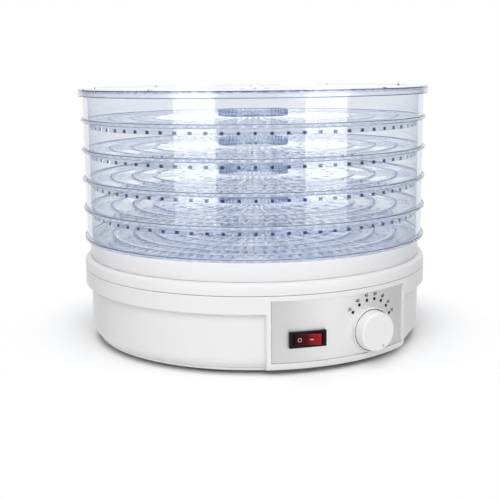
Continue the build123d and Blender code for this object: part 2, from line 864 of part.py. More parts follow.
def lead(*points):
    """A round lead along straight runs joined by arcs."""
    path = FilletPolyline(*points, radius=wire_bend_r)
    start = Plane(origin=path @ 0, z_dir=path % 0)
    return sweep(start * Circle(wire_r), path)


def internal_wires():
    """Leads from the terminal block to switch, thermostat, heater and motor."""
    run = floor_thickness + wire_r + wire_lift
    front = block_y - block_d / 2
    pitch = block_w / block_ways
    switch_back = -switch_body_depth - blade_length
    thermostat_back = -thermostat_shoulder - thermostat_depth
    switch = switch_place()
    thermostat = knob_place()

    def switch_side(side, back):
        return (switch * Pos(side * blade_spacing / 2, 0, switch_back - back)).position

    def thermostat_side(side, back):
        return (thermostat * Pos(side * thermostat_w / 4, -thermostat_h / 4, thermostat_back - back)).position

    turn = switch_side(-1, 2 * wire_loop)
    supply = lead(
        (block_x + pitch, front, run), (block_x + pitch, front - wire_loop, run),
        (shroud_r + wire_lane, 0, run),
        (turn.X, turn.Y, run), turn, switch_side(-1, 0),
    )
    link = lead(
        switch_side(1, 0), switch_side(1, wire_loop), thermostat_side(-1, wire_loop), thermostat_side(-1, 0),
    )
    heater_turn = thermostat_side(1, wire_loop)
    reach = hypot(heater_turn.X, heater_turn.Y)
    way = Vector(heater_turn.X / reach, heater_turn.Y / reach, 0)
    heater_height = shroud_bottom + 2 * wire_bend_r
    entry = way * (shroud_r + running_gap) + Vector(0, 0, heater_height)
    heater = lead(
        thermostat_side(1, 0), heater_turn, entry + way * wire_loop, entry,
    )
    coil_face = core_y + stator_leg_width / 2 + bobbin_wall + coil_thickness + running_gap
    coil_middle = (stator_bottom + stator_top) / 2
    motor = lead(
        (block_x - pitch, front, run), (block_x - pitch, front - wire_loop, run),
        (0, coil_face + wire_loop, coil_middle), (0, coil_face, coil_middle),
    )
    return [supply, link, heater, motor]


builders = {
    "base_housing": base_housing, "top_cover": top_cover, "outlet_grille": outlet_grille,
    "control_panel": control_panel, "switch_body": switch_body, "switch_terminals": switch_terminals,
    "rocker": rocker, "knob": knob, "knob_ring": knob_ring, "thermostat_body": thermostat_body,
    "thermostat_spindle": thermostat_spindle, "thermostat_nut": thermostat_nut,
    "motor_stator": motor_stator, "motor_bobbin": motor_bobbin, "motor_coil": motor_coil,
    "motor_bracket_lower": motor_bracket_lower, "motor_bracket_upper": motor_bracket_upper,
    "motor_bushes": motor_bushes, "motor_rotor": motor_rotor, "motor_shaft": motor_shaft,
    "motor_screws": motor_screws, "fan": fan, "fan_clip": fan_clip, "heater_shroud": heater_shroud,
    "shroud_screws": shroud_screws, "heater_boards": heater_boards, "heater_coil": heater_coil,
    "thermal_cutout": thermal_cutout, "cover_screws": cover_screws, "feet": feet,
    "foot_screws": foot_screws, "cord_gland": cord_gland, "terminal_block": terminal_block,
    "terminal_screws": terminal_screws, "internal_wires": internal_wires,
}


def export(name, shape):
    """Stand a piece on its feet and write it."""
    solids = [s for item in (shape if isinstance(shape, list) else [shape]) for s in item.solids()]
    raised = [Pos(0, 0, foot_height) * s for s in solids]
    export_step(raised[0] if len(raised) == 1 else Compound(children=raised), f"parts/{name}.step")


os.makedirs("parts", exist_ok=True)
for name, builder in builders.items():
    export(name, builder())
one_tray = tray()
for k in range(tray_count):
    export(f"tray_{tray_count - k}", Pos(0, 0, lowest_tray + k * tray_pitch) * one_tray)
export("lid", Pos(0, 0, lid_seat) * lid())
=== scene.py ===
# %% [markdown]
# A food dehydrator as a Blender lesson. The object is a white base with a silver control panel, and on it
# stands a stack of clear plastic trays under a flat lid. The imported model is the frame: it says where each
# piece is and what moves, and this script gives every piece its finished shape and surface. All of it could
# be modelled by hand in the editor, but a script can be read, changed and run again.

# %% Load the frame
import bmesh
import bpy
import json
from math import atan2, cos, degrees, hypot, pi, radians, sin, sqrt, tan
from mathutils import Matrix, Vector


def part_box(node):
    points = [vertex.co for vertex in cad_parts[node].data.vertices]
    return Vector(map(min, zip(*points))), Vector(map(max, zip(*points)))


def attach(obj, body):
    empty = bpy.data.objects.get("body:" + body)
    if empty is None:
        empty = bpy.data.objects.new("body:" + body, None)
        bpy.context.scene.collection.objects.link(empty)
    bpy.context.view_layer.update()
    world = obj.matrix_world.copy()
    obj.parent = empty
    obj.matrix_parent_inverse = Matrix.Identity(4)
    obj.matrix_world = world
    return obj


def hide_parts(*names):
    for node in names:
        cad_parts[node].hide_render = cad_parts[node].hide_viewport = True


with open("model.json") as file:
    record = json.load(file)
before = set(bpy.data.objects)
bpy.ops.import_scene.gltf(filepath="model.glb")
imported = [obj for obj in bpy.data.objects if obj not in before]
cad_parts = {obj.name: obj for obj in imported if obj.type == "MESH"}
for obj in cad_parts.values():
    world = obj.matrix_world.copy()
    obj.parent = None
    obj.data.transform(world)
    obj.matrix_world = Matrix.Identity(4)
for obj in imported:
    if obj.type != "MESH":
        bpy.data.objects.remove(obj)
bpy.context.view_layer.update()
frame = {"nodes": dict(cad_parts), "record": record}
MM = 0.001

# %% [markdown]
# The camera stands in front, a little above the lid, and looks down at the base. Its place and lens were
# worked out from the round edges in the picture: a circle seen from above is an ellipse, and five tray rims
# at known spacing leave only one camera that fits. A Track To constraint could aim it, but three plain axes
# also hold its slight roll. The lens is written for a square picture.

# %% Camera
foot_height = -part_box("feet")[0].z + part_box("base_housing")[0].z
camera_distance = 0.908
camera_height = 0.2431 + foot_height
camera_pitch = 0.185
camera_yaw = -0.0046
camera_roll = -0.011
camera_lens = 68.9
camera_near = 0.02
upright = Vector((0, 0, 1))

heading = Vector((sin(camera_yaw), cos(camera_yaw), 0))
forward = heading * cos(camera_pitch) - upright * sin(camera_pitch)
level_right = forward.cross(upright).normalized()
level_up = level_right.cross(forward)
right = level_right * cos(camera_roll) + level_up * sin(camera_roll)
up = level_up * cos(camera_roll) - level_right * sin(camera_roll)
camera_data = bpy.data.cameras.new("camera")
camera_data.lens = camera_lens
camera_data.clip_start = camera_near
camera = bpy.data.objects.new("camera", camera_data)
turn = Matrix((right, up, -forward)).transposed().to_4x4()
camera.matrix_world = Matrix.Translation((0, -camera_distance, camera_height)) @ turn
bpy.context.collection.objects.link(camera)
bpy.context.scene.camera = camera
bpy.context.scene.view_settings.view_transform = "Standard"
print("camera at", tuple(round(c, 3) for c in camera.location))

# %% [markdown]
# Shader maths is easier to read as Python than as a drawing of boxes. This small class holds one socket of
# a node tree: adding or multiplying two of them makes a Math node, and `node` makes any other kind. The
# nodes could be placed one by one in the Shader Editor, with the same result.

# %% Shader sockets as values
grain_detail = 2.0


class Wire:
    """One output socket of a node tree."""

    def __init__(self, tree, socket=None):
        self.tree = tree
        self.socket = socket

    def node(self, kind, settings=None, sockets=None, out=0):
        """Adds a node with its settings, and the values or wires of its sockets."""
        made = self.tree.nodes.new(kind)
        for key, value in (settings or {}).items():
            if key == "stops":
                ramp = made.color_ramp.elements
                while len(ramp) < len(value):
                    ramp.new(1.0)
                for element, (place, colour) in zip(ramp, value):
                    element.position = place
                    element.color = colour
            else:
                setattr(made, key, value)
        for key, value in (sockets or {}).items():
            if isinstance(value, Wire):
                self.tree.links.new(value.socket, made.inputs[key])
            else:
                made.inputs[key].default_value = value
        return Wire(self.tree, made.outputs[out])

    def math(self, operation, a, b):
        return self.node("ShaderNodeMath", {"operation": operation}, {0: a, 1: b})

    def __add__(self, other):
        return self.math("ADD", self, other)

    def __radd__(self, other):
        return self.math("ADD", other, self)

    def __sub__(self, other):
        return self.math("SUBTRACT", self, other)

    def __rsub__(self, other):
        return self.math("SUBTRACT", other, self)

    def __mul__(self, other):
        return self.math("MULTIPLY", self, other)

    def __rmul__(self, other):
        return self.math("MULTIPLY", other, self)


def new_material(name):
    """A material with one Principled shader: the material, its first wire and the shader's inputs."""
    material = bpy.data.materials.new(name)
    material.use_nodes = True
    tree = material.node_tree
    return material, Wire(tree), tree.nodes["Principled BSDF"].inputs


def feed(wires, value, socket):
    """Links a wire into a shader's input."""
    wires.tree.links.new(value.socket, socket)


def grain(wires, scale):
    """Fine noise on object coordinates, as a value near one half."""
    place = wires.node("ShaderNodeTexCoord", out="Object")
    sockets = {"Vector": place, "Scale": scale, "Detail": grain_detail}
    return wires.node("ShaderNodeTexNoise", sockets=sockets)


def bump(wires, height, strength, depth):
    """A bump of a given depth in metres."""
    return wires.node("ShaderNodeBump", sockets={"Height": height, "Strength": strength, "Distance": depth})


print("shader helpers:", ", ".join(helper.__name__ for helper in (new_material, feed, grain, bump)))

# %% [markdown]
# The trays are clear styrene with a faint blue cast. Where light crosses a wall it stays almost colourless,
# and where it runs along a floor or a flange it turns blue. That is absorption inside the plastic, so the
# colour belongs in the volume, not on the surface. A real tray has one density throughout, but its thin
# edges look deepest, because light is caught in them and reflected many times. One density can't show that
# in a reasonable time, so each part of a tray has its own: the higher, the deeper its blue. Lamps shine
# through clear plastic, which a path tracer finds slowly, so shadow rays are let straight through.

# %% Clear plastic
clear_tint = (0.10, 0.27, 0.55, 1)
block_tint = (0.06, 0.16, 0.52, 1)
shadow_tint = (0.965, 0.975, 0.99, 1)
wall_density = 52.0
foot_density = 8.0
floor_density = 12.0
skirt_density = 180.0
lip_density = 1300.0
collar_density = 215.0
block_density = 3000.0
lid_density = 2.5
lid_rim_density = 30.0
lid_edge_density = 800.0
bead_density = 20.0


def principled(wires):
    """The Principled shader of a new material, as a wire."""
    return Wire(wires.tree, wires.tree.nodes["Principled BSDF"].outputs[0])


def clear_plastic(name, density, tint=clear_tint, roughness=0.0, clearness=1.0, ior=1.5):
    """Clear plastic that deepens with the light's way through it; a clearness below 1 makes it milky."""
    material, wires, shader = new_material(name)
    shader["Base Color"].default_value = (1, 1, 1, 1)
    shader["Transmission Weight"].default_value = clearness
    shader["IOR"].default_value = ior
    shader["Roughness"].default_value = roughness
    shadow_ray = wires.node("ShaderNodeLightPath", out="Is Shadow Ray")
    through = wires.node("ShaderNodeBsdfTransparent", sockets={"Color": shadow_tint})
    mixed = wires.node("ShaderNodeMixShader", sockets={0: shadow_ray, 1: principled(wires), 2: through})
    depth = wires.node("ShaderNodeVolumeAbsorption", sockets={"Color": tint, "Density": density})
    output = wires.tree.nodes["Material Output"].inputs
    feed(wires, mixed, output["Surface"])
    feed(wires, depth, output["Volume"])
    return material


clear = clear_plastic("clear_plastic", wall_density)
# milky foot: painted light, so that the flange shows as a light strip
clear_foot = clear_plastic("clear_foot", foot_density, roughness=0.2, clearness=0.86)
clear_floor = clear_plastic("clear_floor", floor_density)
clear_skirt = clear_plastic("clear_skirt", skirt_density)
clear_lid = clear_plastic("clear_lid", lid_density)
clear_lid_rim = clear_plastic("clear_lid_rim", lid_rim_density, roughness=0.15)
clear_bead = clear_plastic("clear_bead", bead_density)
# deep blue lip: painted shade where light is caught in the flange's edge
blue_lip = clear_plastic("blue_lip", lip_density)
blue_edge = clear_plastic("blue_edge", lid_edge_density)
deep_blue = clear_plastic("deep_blue", collar_density)
dense_blue = clear_plastic("dense_blue", block_density, tint=block_tint, ior=1.12)
# milky plastic whose pale lines are painted glints on the tray floors
painted_glint = clear_plastic("painted_glint", lid_density, roughness=0.4, clearness=0.3)
print("finishes so far:", len(bpy.data.materials))

# %% [markdown]
# The base is white moulded plastic with a satin sheen. A moulded surface is never quite even, so a fine
# grain moves the roughness a little and gives a very shallow bump. The panel is metal with its grain drawn
# out level, as brushing leaves it. Pictures could be wrapped round both, but noise on the object's own
# coordinates has no seams and needs no file.

# %% Opaque finishes
grain_scale = 900.0
broad_scale = 30.0
grain_strength = 0.3
grain_depth = 0.00003
roughness_spread = 0.08
tone_drop = 0.96
tone_share = 0.5
streak_scale = 600.0
streak_detail = 3.0
streak_strength = 0.2
streak_depth = 0.00002
streak_spread = 0.12
level_brushing = (1, 1, 40)


def moulded(name, colour, roughness, sheen=0.5):
    """Moulded plastic, rubber or print: a tone and a roughness that wander, and a fine grain."""
    material, wires, shader = new_material(name)
    fine = grain(wires, grain_scale)
    broad = grain(wires, broad_scale)
    darker = tuple(c * tone_drop for c in colour)
    tone = wires.node(
        "ShaderNodeMix", {"data_type": "RGBA"},
        {0: broad * tone_share, 6: colour + (1,), 7: darker + (1,)}, out=2)
    feed(wires, tone, shader["Base Color"])
    feed(wires, roughness - roughness_spread / 2 + roughness_spread * broad, shader["Roughness"])
    feed(wires, bump(wires, fine, grain_strength, grain_depth), shader["Normal"])
    shader["Specular IOR Level"].default_value = sheen
    return material


def metal(name, colour, roughness, stretch=(1, 1, 1)):
    """Bare or plated metal, with a grain that may be squeezed along one axis."""
    material, wires, shader = new_material(name)
    place = wires.node("ShaderNodeTexCoord", out="Object")
    drawn = wires.node("ShaderNodeMapping", sockets={"Vector": place, "Scale": stretch})
    streaks = wires.node(
        "ShaderNodeTexNoise", sockets={"Vector": drawn, "Scale": streak_scale, "Detail": streak_detail})
    shader["Base Color"].default_value = colour + (1,)
    shader["Metallic"].default_value = 1.0
    feed(wires, roughness - streak_spread / 2 + streak_spread * streaks, shader["Roughness"])
    feed(wires, bump(wires, streaks, streak_strength, streak_depth), shader["Normal"])
    return material


white = moulded("white_plastic", (0.78, 0.775, 0.78), 0.38, sheen=0.4)
knob_white = moulded("knob_plastic", (0.79, 0.79, 0.79), 0.34, sheen=0.4)
mark_ink = moulded("mark_ink", (0.72, 0.50, 0.46), 0.4)
# grey of the knob's pointer: painted shade of a dimple in the knob
pointer_painted_shade = moulded("pointer_painted_shade", (0.45, 0.45, 0.46), 0.4)
silver = metal("silver_panel", (0.95, 0.95, 0.955), 0.53, level_brushing)
black = moulded("black_plastic", (0.006, 0.006, 0.007), 0.35, sheen=0.2)
print("finishes so far:", len(bpy.data.materials))

# %% [markdown]
# Almost everything here is turned about the upright axis, so one helper does most of the modelling: it
# draws an outline as a flat face, rounds chosen corners with a vertex bevel, and spins the line of points.
# Every piece is then merged, its normals are turned outwards, and it is hung on the body it moves with.
# A Weighted Normal modifier lets the large faces decide the shading, so that a flat wall between two rounded
# edges mirrors like a flat wall. A Screw modifier would turn an outline too, but the spun points can be
# picked and moved afterwards.

# %% Turning helpers
turn_steps = 288
step_angle = 2 * pi / turn_steps
corner_segments = 4
weld_distance = 0.5e-6
sharp_angle = 34.0


def soften(bm, geom, size, segments=2, affect="EDGES"):
    """Rounds edges, or the corners of a flat face where VERTICES are affected."""
    bmesh.ops.bevel(
        bm, geom=geom, offset=size, offset_type="OFFSET", affect=affect, segments=segments, profile=0.5,
        material=-1)


def rounded(points, rounds):
    """An outline's points, in order, after some of its corners are rounded."""
    flat = bmesh.new()
    corners = [flat.verts.new((r, 0, z)) for r, z in points]
    flat.faces.new(corners)
    for index, size in rounds.items():
        soften(flat, [corners[index]], size, corner_segments, "VERTICES")
    face = max(flat.faces, key=lambda f: len(f.verts))
    loop = [(v.co.x, v.co.z) for v in face.verts]
    flat.free()
    nearest = [hypot(r - points[0][0], z - points[0][1]) for r, z in loop]
    start = nearest.index(min(nearest))
    return loop[start:] + loop[:start]


def spin(bm, points, closed=False, steps=turn_steps):
    """Turns a line of points, in millimetres, about the upright axis."""
    line = [bm.verts.new((r * MM, 0, z * MM)) for r, z in points]
    pairs = list(zip(line, line[1:]))
    if closed:
        pairs.append((line[-1], line[0]))
    edges = [bm.edges.new(pair) for pair in pairs]
    bmesh.ops.spin(
        bm, geom=line + edges, cent=(0, 0, 0), axis=(0, 0, 1), dvec=(0, 0, 0), angle=2 * pi,
        steps=steps, use_merge=True, use_normal_flip=False, use_duplicate=False)


def merged(bm):
    """Joins points that coincide."""
    bmesh.ops.remove_doubles(bm, verts=bm.verts, dist=weld_distance)


def to_mesh(bm, name):
    """A finished mesh: merged, normals outwards, smooth but for its sharp edges."""
    merged(bm)
    bmesh.ops.recalc_face_normals(bm, faces=bm.faces)
    mesh = bpy.data.meshes.new(name)
    bm.to_mesh(mesh)
    bm.free()
    mesh.shade_smooth()
    mesh.set_sharp_from_angle(angle=radians(sharp_angle))
    return mesh


def hang(mesh, name, body, slot, material, *replaced):
    """Puts a mesh into the scene as a piece that moves with a body."""
    mesh.materials.append(material)
    made = bpy.data.objects.new(name, mesh)
    bpy.context.collection.objects.link(made)
    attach(made, body)
    if replaced:
        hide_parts(*replaced)
    flat = made.modifiers.new("flat_faces", "WEIGHTED_NORMAL")
    flat.keep_sharp = True


print("one turn:", turn_steps, "steps of", degrees(step_angle), "degrees")

# %% [markdown]
# A tray floor is a flat disc full of holes. It starts as one straight line of points that is spun into a
# grid of rings and sectors. The faces where a hole belongs are deleted, and what is left is extruded upwards
# once, so the bars between the holes get their thickness and every hole its walls in the same stroke. A
# Boolean modifier could cut the holes as well, but it leaves long thin triangles that shade badly.

# %% Floors with holes
ring_slack = 0.3
level_slack = 0.02


def polar(point):
    """Radius in millimetres and turn step of a point."""
    turn = atan2(point.y, point.x) % (2 * pi)
    return hypot(point.x, point.y) / MM, int(turn / step_angle)


def points_in(geom):
    """The points among what an operator returns."""
    return [v for v in geom if isinstance(v, bmesh.types.BMVert)]


def lift(bm, faces, height):
    """Extrudes some faces straight up or down."""
    lifted = bmesh.ops.extrude_face_region(bm, geom=faces)["geom"]
    bmesh.ops.translate(bm, verts=points_in(lifted), vec=(0, 0, height * MM))


def pierced_floor(bm, radii, thickness, is_hole):
    """A disc from the first radius to the last, with holes where is_hole(ring, step) says so."""
    spin(bm, [(r, 0) for r in radii])
    merged(bm)
    holes = []
    for face in bm.faces:
        radius, step = polar(face.calc_center_median())
        ring = max(k for k, r in enumerate(radii) if r <= radius + ring_slack)
        if is_hole(ring, step):
            holes.append(face)
    bmesh.ops.delete(bm, geom=holes, context="FACES")
    lift(bm, list(bm.faces), thickness)
    return len(holes)


def level_faces(bm, low, high, height, wanted):
    """Level faces between two radii at a height whose turn step is wanted."""
    found = []
    for face in bm.faces:
        if all(abs(v.co.z / MM - height) < level_slack for v in face.verts):
            radius, step = polar(face.calc_center_median())
            if low < radius < high and wanted(step):
                found.append(face)
    return found


print("floor helpers: cells are told apart to", level_slack, "mm")

# %% [markdown]
# A tray is one moulding: a floor with slots, a low wall, a flange round its foot and a notched skirt that
# drops into the tray below. It is drawn in parts, because each shows its own depth of blue. First the floor.
# Its slots let the warm air through, and low ring ribs keep the food off them. Each ring has its own number
# of slots, so that the bars between them stay about as wide from the middle to the edge.

# %% Tray floor
skirt_inner = 150.2
floor_top = 1.8
collar_r = 33.0
rib_radii = [53.0, 73.0, 93.0, 113.0, 133.0]
rib_half = 0.4
rib_height = 0.4
slot_margin = 3.6
slot_width = 2.0
slot_pitch = 7.0
slot_spacings = (3, 4, 6, 8, 9, 12)


def floor_layout():
    """Ring radii of the floor's grid, and which of its rings hold slots or ribs."""
    radii = [collar_r]
    slot_rings = set()
    rib_rings = set()
    edges = [collar_r] + rib_radii + [skirt_inner]
    for inner, outer in zip(edges, edges[1:]):
        if inner in rib_radii:
            radii.append(inner + rib_half)
        slot_rings.add(len(radii))
        radii += [inner + slot_margin, outer - slot_margin]
        if outer in rib_radii:
            rib_rings.add(len(radii))
            radii.append(outer - rib_half)
    return radii + [skirt_inner], slot_rings, rib_rings


floor_radii, slot_rings, rib_rings = floor_layout()


def tray_slot(ring, step):
    """Whether a floor cell is open: slots with an even spacing that suits the ring's size."""
    if ring not in slot_rings:
        return False
    cell = floor_radii[ring] * step_angle
    spacing = next(n for n in slot_spacings if n * cell >= slot_pitch)
    return step % spacing < max(1, round(slot_width / cell))


def floor_mesh():
    """The tray's floor: a pierced disc with low ring ribs."""
    bm = bmesh.new()
    slots = pierced_floor(bm, floor_radii, floor_top, tray_slot)
    ribs = []
    for ring in rib_rings:
        ribs += level_faces(bm, floor_radii[ring], floor_radii[ring + 1], floor_top, lambda step: True)
    lift(bm, ribs, rib_height)
    print("tray floor:", slots, "open cells,", len(bm.faces), "faces")
    return to_mesh(bm, "tray_floor")


print("tray floor:", len(slot_rings), "rings of slots,", len(rib_rings), "ribs")

# %% [markdown]
# The wall and the flange are turned outlines with a few rounded corners. The flange is a little milky, so
# that it shows as a light strip of painted light, and a fine lip near its edge shows as one deep blue line,
# painted shade where light is caught in the edge. Wall and flange could be one outline, but then they would
# share one density. A hair's breadth stays between any two clear parts, so that no two faces lie in the
# same place.

# %% Tray wall, flange and lip
hair = 0.01
skirt_depth = 6.2
tray_low, tray_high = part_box("tray_5")
wall_top = (tray_high.z - tray_low.z) / MM - skirt_depth
wall_r = 157.5
wall_inner = 155.3
wall_ramp = 0.4
flange_r = 160.0
flange_top = 2.2
lip_inset = 0.3
lip_width = 1.2
lip_height = 0.6


def wall_mesh():
    """The tray's upright wall."""
    bm = bmesh.new()
    low = flange_top + hair
    wall = [(wall_inner, low), (wall_inner, wall_top), (wall_r, wall_top), (wall_r, low)]
    spin(bm, rounded(wall, {1: 0.6, 2: 0.8}), closed=True)
    return to_mesh(bm, "tray_wall")


def foot_mesh():
    """The flange round the tray's foot, as wide as the wall and the floor's edge need."""
    bm = bmesh.new()
    inner = skirt_inner + hair
    foot = [
        (inner, floor_top), (wall_inner - wall_ramp, floor_top), (wall_inner, flange_top),
        (flange_r, flange_top), (flange_r, 0), (inner, 0),
    ]
    spin(bm, rounded(foot, {3: 0.5, 4: 0.7}), closed=True)
    return to_mesh(bm, "tray_foot")


def lip_mesh():
    """The low lip near the flange's edge."""
    bm = bmesh.new()
    outer = flange_r - lip_inset
    inner = outer - lip_width
    low = flange_top + hair
    top = flange_top + lip_height
    lip = [(inner, low), (inner, top), (outer, top), (outer, low)]
    spin(bm, rounded(lip, {1: 0.15, 2: 0.15}), closed=True)
    return to_mesh(bm, "tray_lip")


print("tray wall:", round(wall_top - flange_top, 2), "mm high on a flange of", 2 * flange_r, "mm")

# %% [markdown]
# The skirt under the flange centres the tray on the one below. It has teeth, so that moist air can leave
# between two trays, and a small block sits in each notch. The teeth are drawn out of a plain ring: level
# faces at its foot are picked by their turn step and extruded downwards. The blocks are cubes that are
# turned to their places and softened together. An Array modifier could repeat one block, but it would need
# an empty to turn about.

# %% Tray skirt and its blocks
skirt_r = 152.0
notch = 3.0
notch_every = 4
block_size = (1.4, 2.7, 2.6)
block_edge = 0.25


def skirt_mesh():
    """The notched skirt under the flange."""
    bm = bmesh.new()
    inner = skirt_inner + hair
    low = notch - skirt_depth
    spin(bm, [(inner, -hair), (skirt_r, -hair), (skirt_r, low), (inner, low)], closed=True)
    merged(bm)
    lift(bm, level_faces(bm, inner, skirt_r, low, lambda step: step % notch_every != 0), -notch)
    return to_mesh(bm, "tray_skirt")


def add_bar(bm, size, place, angle):
    """Adds a block of a size at a place on the x axis, turned about the upright axis."""
    bar = bmesh.ops.create_cube(bm, size=MM)["verts"]
    bmesh.ops.scale(bm, verts=bar, vec=size)
    put = Matrix.Rotation(angle, 4, "Z") @ Matrix.Translation(Vector(place) * MM)
    bmesh.ops.transform(bm, matrix=put, verts=bar)


def block_mesh():
    """The small blocks in the skirt's notches."""
    bm = bmesh.new()
    place = ((skirt_r + skirt_inner) / 2, 0, notch / 2 - skirt_depth)
    for k in range(turn_steps // notch_every):
        add_bar(bm, block_size, place, (notch_every * k + 0.5) * step_angle)
    soften(bm, list(bm.edges), block_edge * MM)
    return to_mesh(bm, "notch_blocks")


print("tray skirt:", turn_steps // notch_every, "notches")

# %% [markdown]
# Round the hole in the middle stands a collar with upright slots, through which the hot air enters each
# tray. It is a low ring with posts drawn up out of it, in the way of the skirt's teeth. Fine spokes run out
# over the floor, with short broad ones at the collar's foot. They are milky, so that they show as pale
# lines on clear plastic: painted glints, where light catches the floor.

# %% Tray collar and spokes
collar_inner = 31.2
collar_height = 8.4
collar_root = 3.4
post_every = 6
post_gap = 2
spoke_edge = 0.15
# count, start, end, width and height of each set
spoke_sets = [(24, 46.0, 90.0, 0.9, 0.7), (48, 34.0, 43.5, 1.8, 0.9)]


def collar_mesh():
    """The slotted collar round the hole in the middle: a low ring with posts on it."""
    bm = bmesh.new()
    outer = collar_r - hair
    root = [(outer, collar_root), (collar_inner, collar_root), (collar_inner, 0), (outer, 0)]
    spin(bm, root, closed=True)
    merged(bm)
    posts = level_faces(bm, collar_inner, outer, collar_root, lambda step: step % post_every >= post_gap)
    lift(bm, posts, collar_height - collar_root)
    return to_mesh(bm, "collar")


def spoke_mesh():
    """Thin raised lines on the floor, running out from the collar, and short broad ones at its foot."""
    bm = bmesh.new()
    for count, start, end, width, height in spoke_sets:
        place = ((start + end) / 2, 0, floor_top + height / 2 + hair)
        for k in range(count):
            add_bar(bm, (end - start, width, height), place, 2 * pi * (k + 0.5) / count)
    soften(bm, list(bm.edges), spoke_edge * MM)
    return to_mesh(bm, "tray_spokes")


print("tray collar:", turn_steps // post_every, "slots")

# %% [markdown]
# All five trays come out of the same mould, so each part is made once and copied up the stack. A copy's
# place goes into its points, and the object stays at the origin, as every piece of the frame does. Linked
# copies would save memory, but they can only be moved as objects.

# %% Stack of trays
tray_count = 5
tray_masters = [
    ("wall", wall_mesh(), clear), ("foot", foot_mesh(), clear_foot), ("lip", lip_mesh(), blue_lip),
    ("skirt", skirt_mesh(), clear_skirt), ("floor", floor_mesh(), clear_floor),
    ("spokes", spoke_mesh(), painted_glint), ("collar", collar_mesh(), deep_blue),
    ("blocks", block_mesh(), dense_blue),
]
for number in range(1, tray_count + 1):
    node = f"tray_{number}"
    place = Matrix.Translation((0, 0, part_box(node)[0].z + skirt_depth * MM))
    for part, master, finish in tray_masters:
        mesh = master.copy()
        mesh.transform(place)
        replaced = [node] if part == "wall" else []
        hang(mesh, f"{node}_{part}", node, "clear_plastic", finish, *replaced)
for _, master, _ in tray_masters:
    bpy.data.meshes.remove(master)
print("trays:", tray_count, "of", len(tray_masters), "parts")

# %% [markdown]
# The lid is the same clear plastic. Its plate is a disc with two rings of long vents round the middle, which
# let the moist air out. It is made as the tray floors are, so every vent has real walls that catch light.

# %% Lid plate
lid_low, lid_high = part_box("lid")
lid_inner = 159.4
lid_skirt = 4.2
lid_plate = 1.9
# inner radius, outer radius and spacing in turn steps
vent_rings = [(36.0, 58.0, 12), (64.0, 86.0, 6)]
vent_width = 3.0


def finish_lid(bm, name, rise=0.0):
    """Lifts a drawing to the lid's place; its zero is the plate's underside."""
    bmesh.ops.translate(bm, verts=bm.verts, vec=(0, 0, lid_low.z + (lid_skirt + rise) * MM))
    return to_mesh(bm, name)


def lid_mesh():
    """The lid's plate with its vents."""
    bm = bmesh.new()
    radii = [0.0]
    for ring in vent_rings:
        radii += ring[:2]
    radii.append(lid_inner)

    def vent(ring, step):
        for inner, outer, spacing in vent_rings:
            if radii[ring] == inner:
                cell = (inner + outer) / 2 * step_angle
                return step % spacing < max(1, round(vent_width / cell))
        return False

    holes = pierced_floor(bm, radii, lid_plate, vent)
    print("lid:", holes, "vents,", len(bm.faces), "faces")
    return finish_lid(bm, "lid")


hang(lid_mesh(), "lid_moulding", "lid", "clear_plastic", clear_lid, "lid")

# %% [markdown]
# A short skirt drops over the top tray's wall, and a low bead runs round the lid's edge. The bead is broken
# in ten places, so that air can pass when the lid lies upside down. From the side the skirt is clear, with
# a dark line at its top and one at its foot, where light is caught in the edges. Those two are thin dense
# rings of their own; painting lines on the skirt would look the same only from one side.

# %% Lid rim and bead
lid_r = 161.4
lid_edge = 0.9
lid_hem = 0.7
lid_top = (lid_high.z - lid_low.z) / MM - lid_skirt
bead_width = 3.0
bead_inset = 0.4
bead_gaps = 10
bead_gap_azimuth = 5.0
edge_low = lid_plate - lid_edge
hem_top = lid_hem - lid_skirt
# name, lower and upper height, rounded corners and finish
lid_rings = [
    ("lid_rim", hem_top + hair, edge_low - hair, {}, clear_lid_rim),
    ("lid_edge", edge_low, lid_plate, {2: 0.2}, blue_edge),
    ("lid_hem", -lid_skirt, hem_top, {0: 0.25, 3: 0.25}, blue_edge),
]


def lid_ring_mesh(name, low, high, corners):
    """A ring of the lid's skirt between two heights."""
    bm = bmesh.new()
    inner = lid_inner + hair
    outline = [(inner, low), (inner, high), (lid_r, high), (lid_r, low)]
    spin(bm, rounded(outline, corners), closed=True)
    return finish_lid(bm, name)


def bead_mesh():
    """The broken bead on the lid's edge: a flat ring without its gaps, raised once."""
    bm = bmesh.new()
    spin(bm, [(lid_r - bead_width, 0), (lid_r - bead_inset, 0)])
    merged(bm)
    first = (bead_gap_azimuth - 90) / 360 * turn_steps
    gaps = {int(first + k * turn_steps / bead_gaps) % turn_steps for k in range(bead_gaps)}
    bmesh.ops.delete(bm, geom=level_faces(bm, 0, lid_r, 0, lambda step: step in gaps), context="FACES")
    lift(bm, list(bm.faces), lid_top - lid_plate)
    return finish_lid(bm, "lid_bead", lid_plate + hair)


for name, low, high, corners, finish in lid_rings:
    hang(lid_ring_mesh(name, low, high, corners), name, "lid", "clear_plastic", finish)
hang(bead_mesh(), "lid_bead", "lid", "clear_plastic", clear_bead)
print("lid:", len(lid_rings), "rings and a bead with", bead_gaps, "gaps")

# %% [markdown]
# The lower shell of the base is one turned shape, apart from the control pad. Its floor has two rings of
# slots, where the fan draws its air. The floor is made first, as the trays' floors are, and the wall's
# outline is spun on from its edge, inside and outside in one line, so that the shell has its thickness from
# the start. A Solidify modifier could give it too, but not the step under the band.

# %% Lower shell
base_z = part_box("base_housing")[0].z
base_bottom_r = 149.0
base_lower_r = 155.3
band_r = 160.6
shell = 2.5
floor_r = 140.0
parting = 64.7
corner_height = 12.0
undercut = 48.5
band_bottom = 50.0
panel_bottom = 8.2
panel_top = 60.6
intake_rings = [(34.0, 50.0), (54.0, 70.0)]
intake_every = 12
intake_steps = 3


def drop_rim(bm, radius):
    """Deletes the upright faces at a radius, where another wall takes over."""
    rim = []
    for face in bm.faces:
        if all(abs(hypot(v.co.x, v.co.y) / MM - radius) < level_slack for v in face.verts):
            rim.append(face)
    bmesh.ops.delete(bm, geom=rim, context="FACES_ONLY")


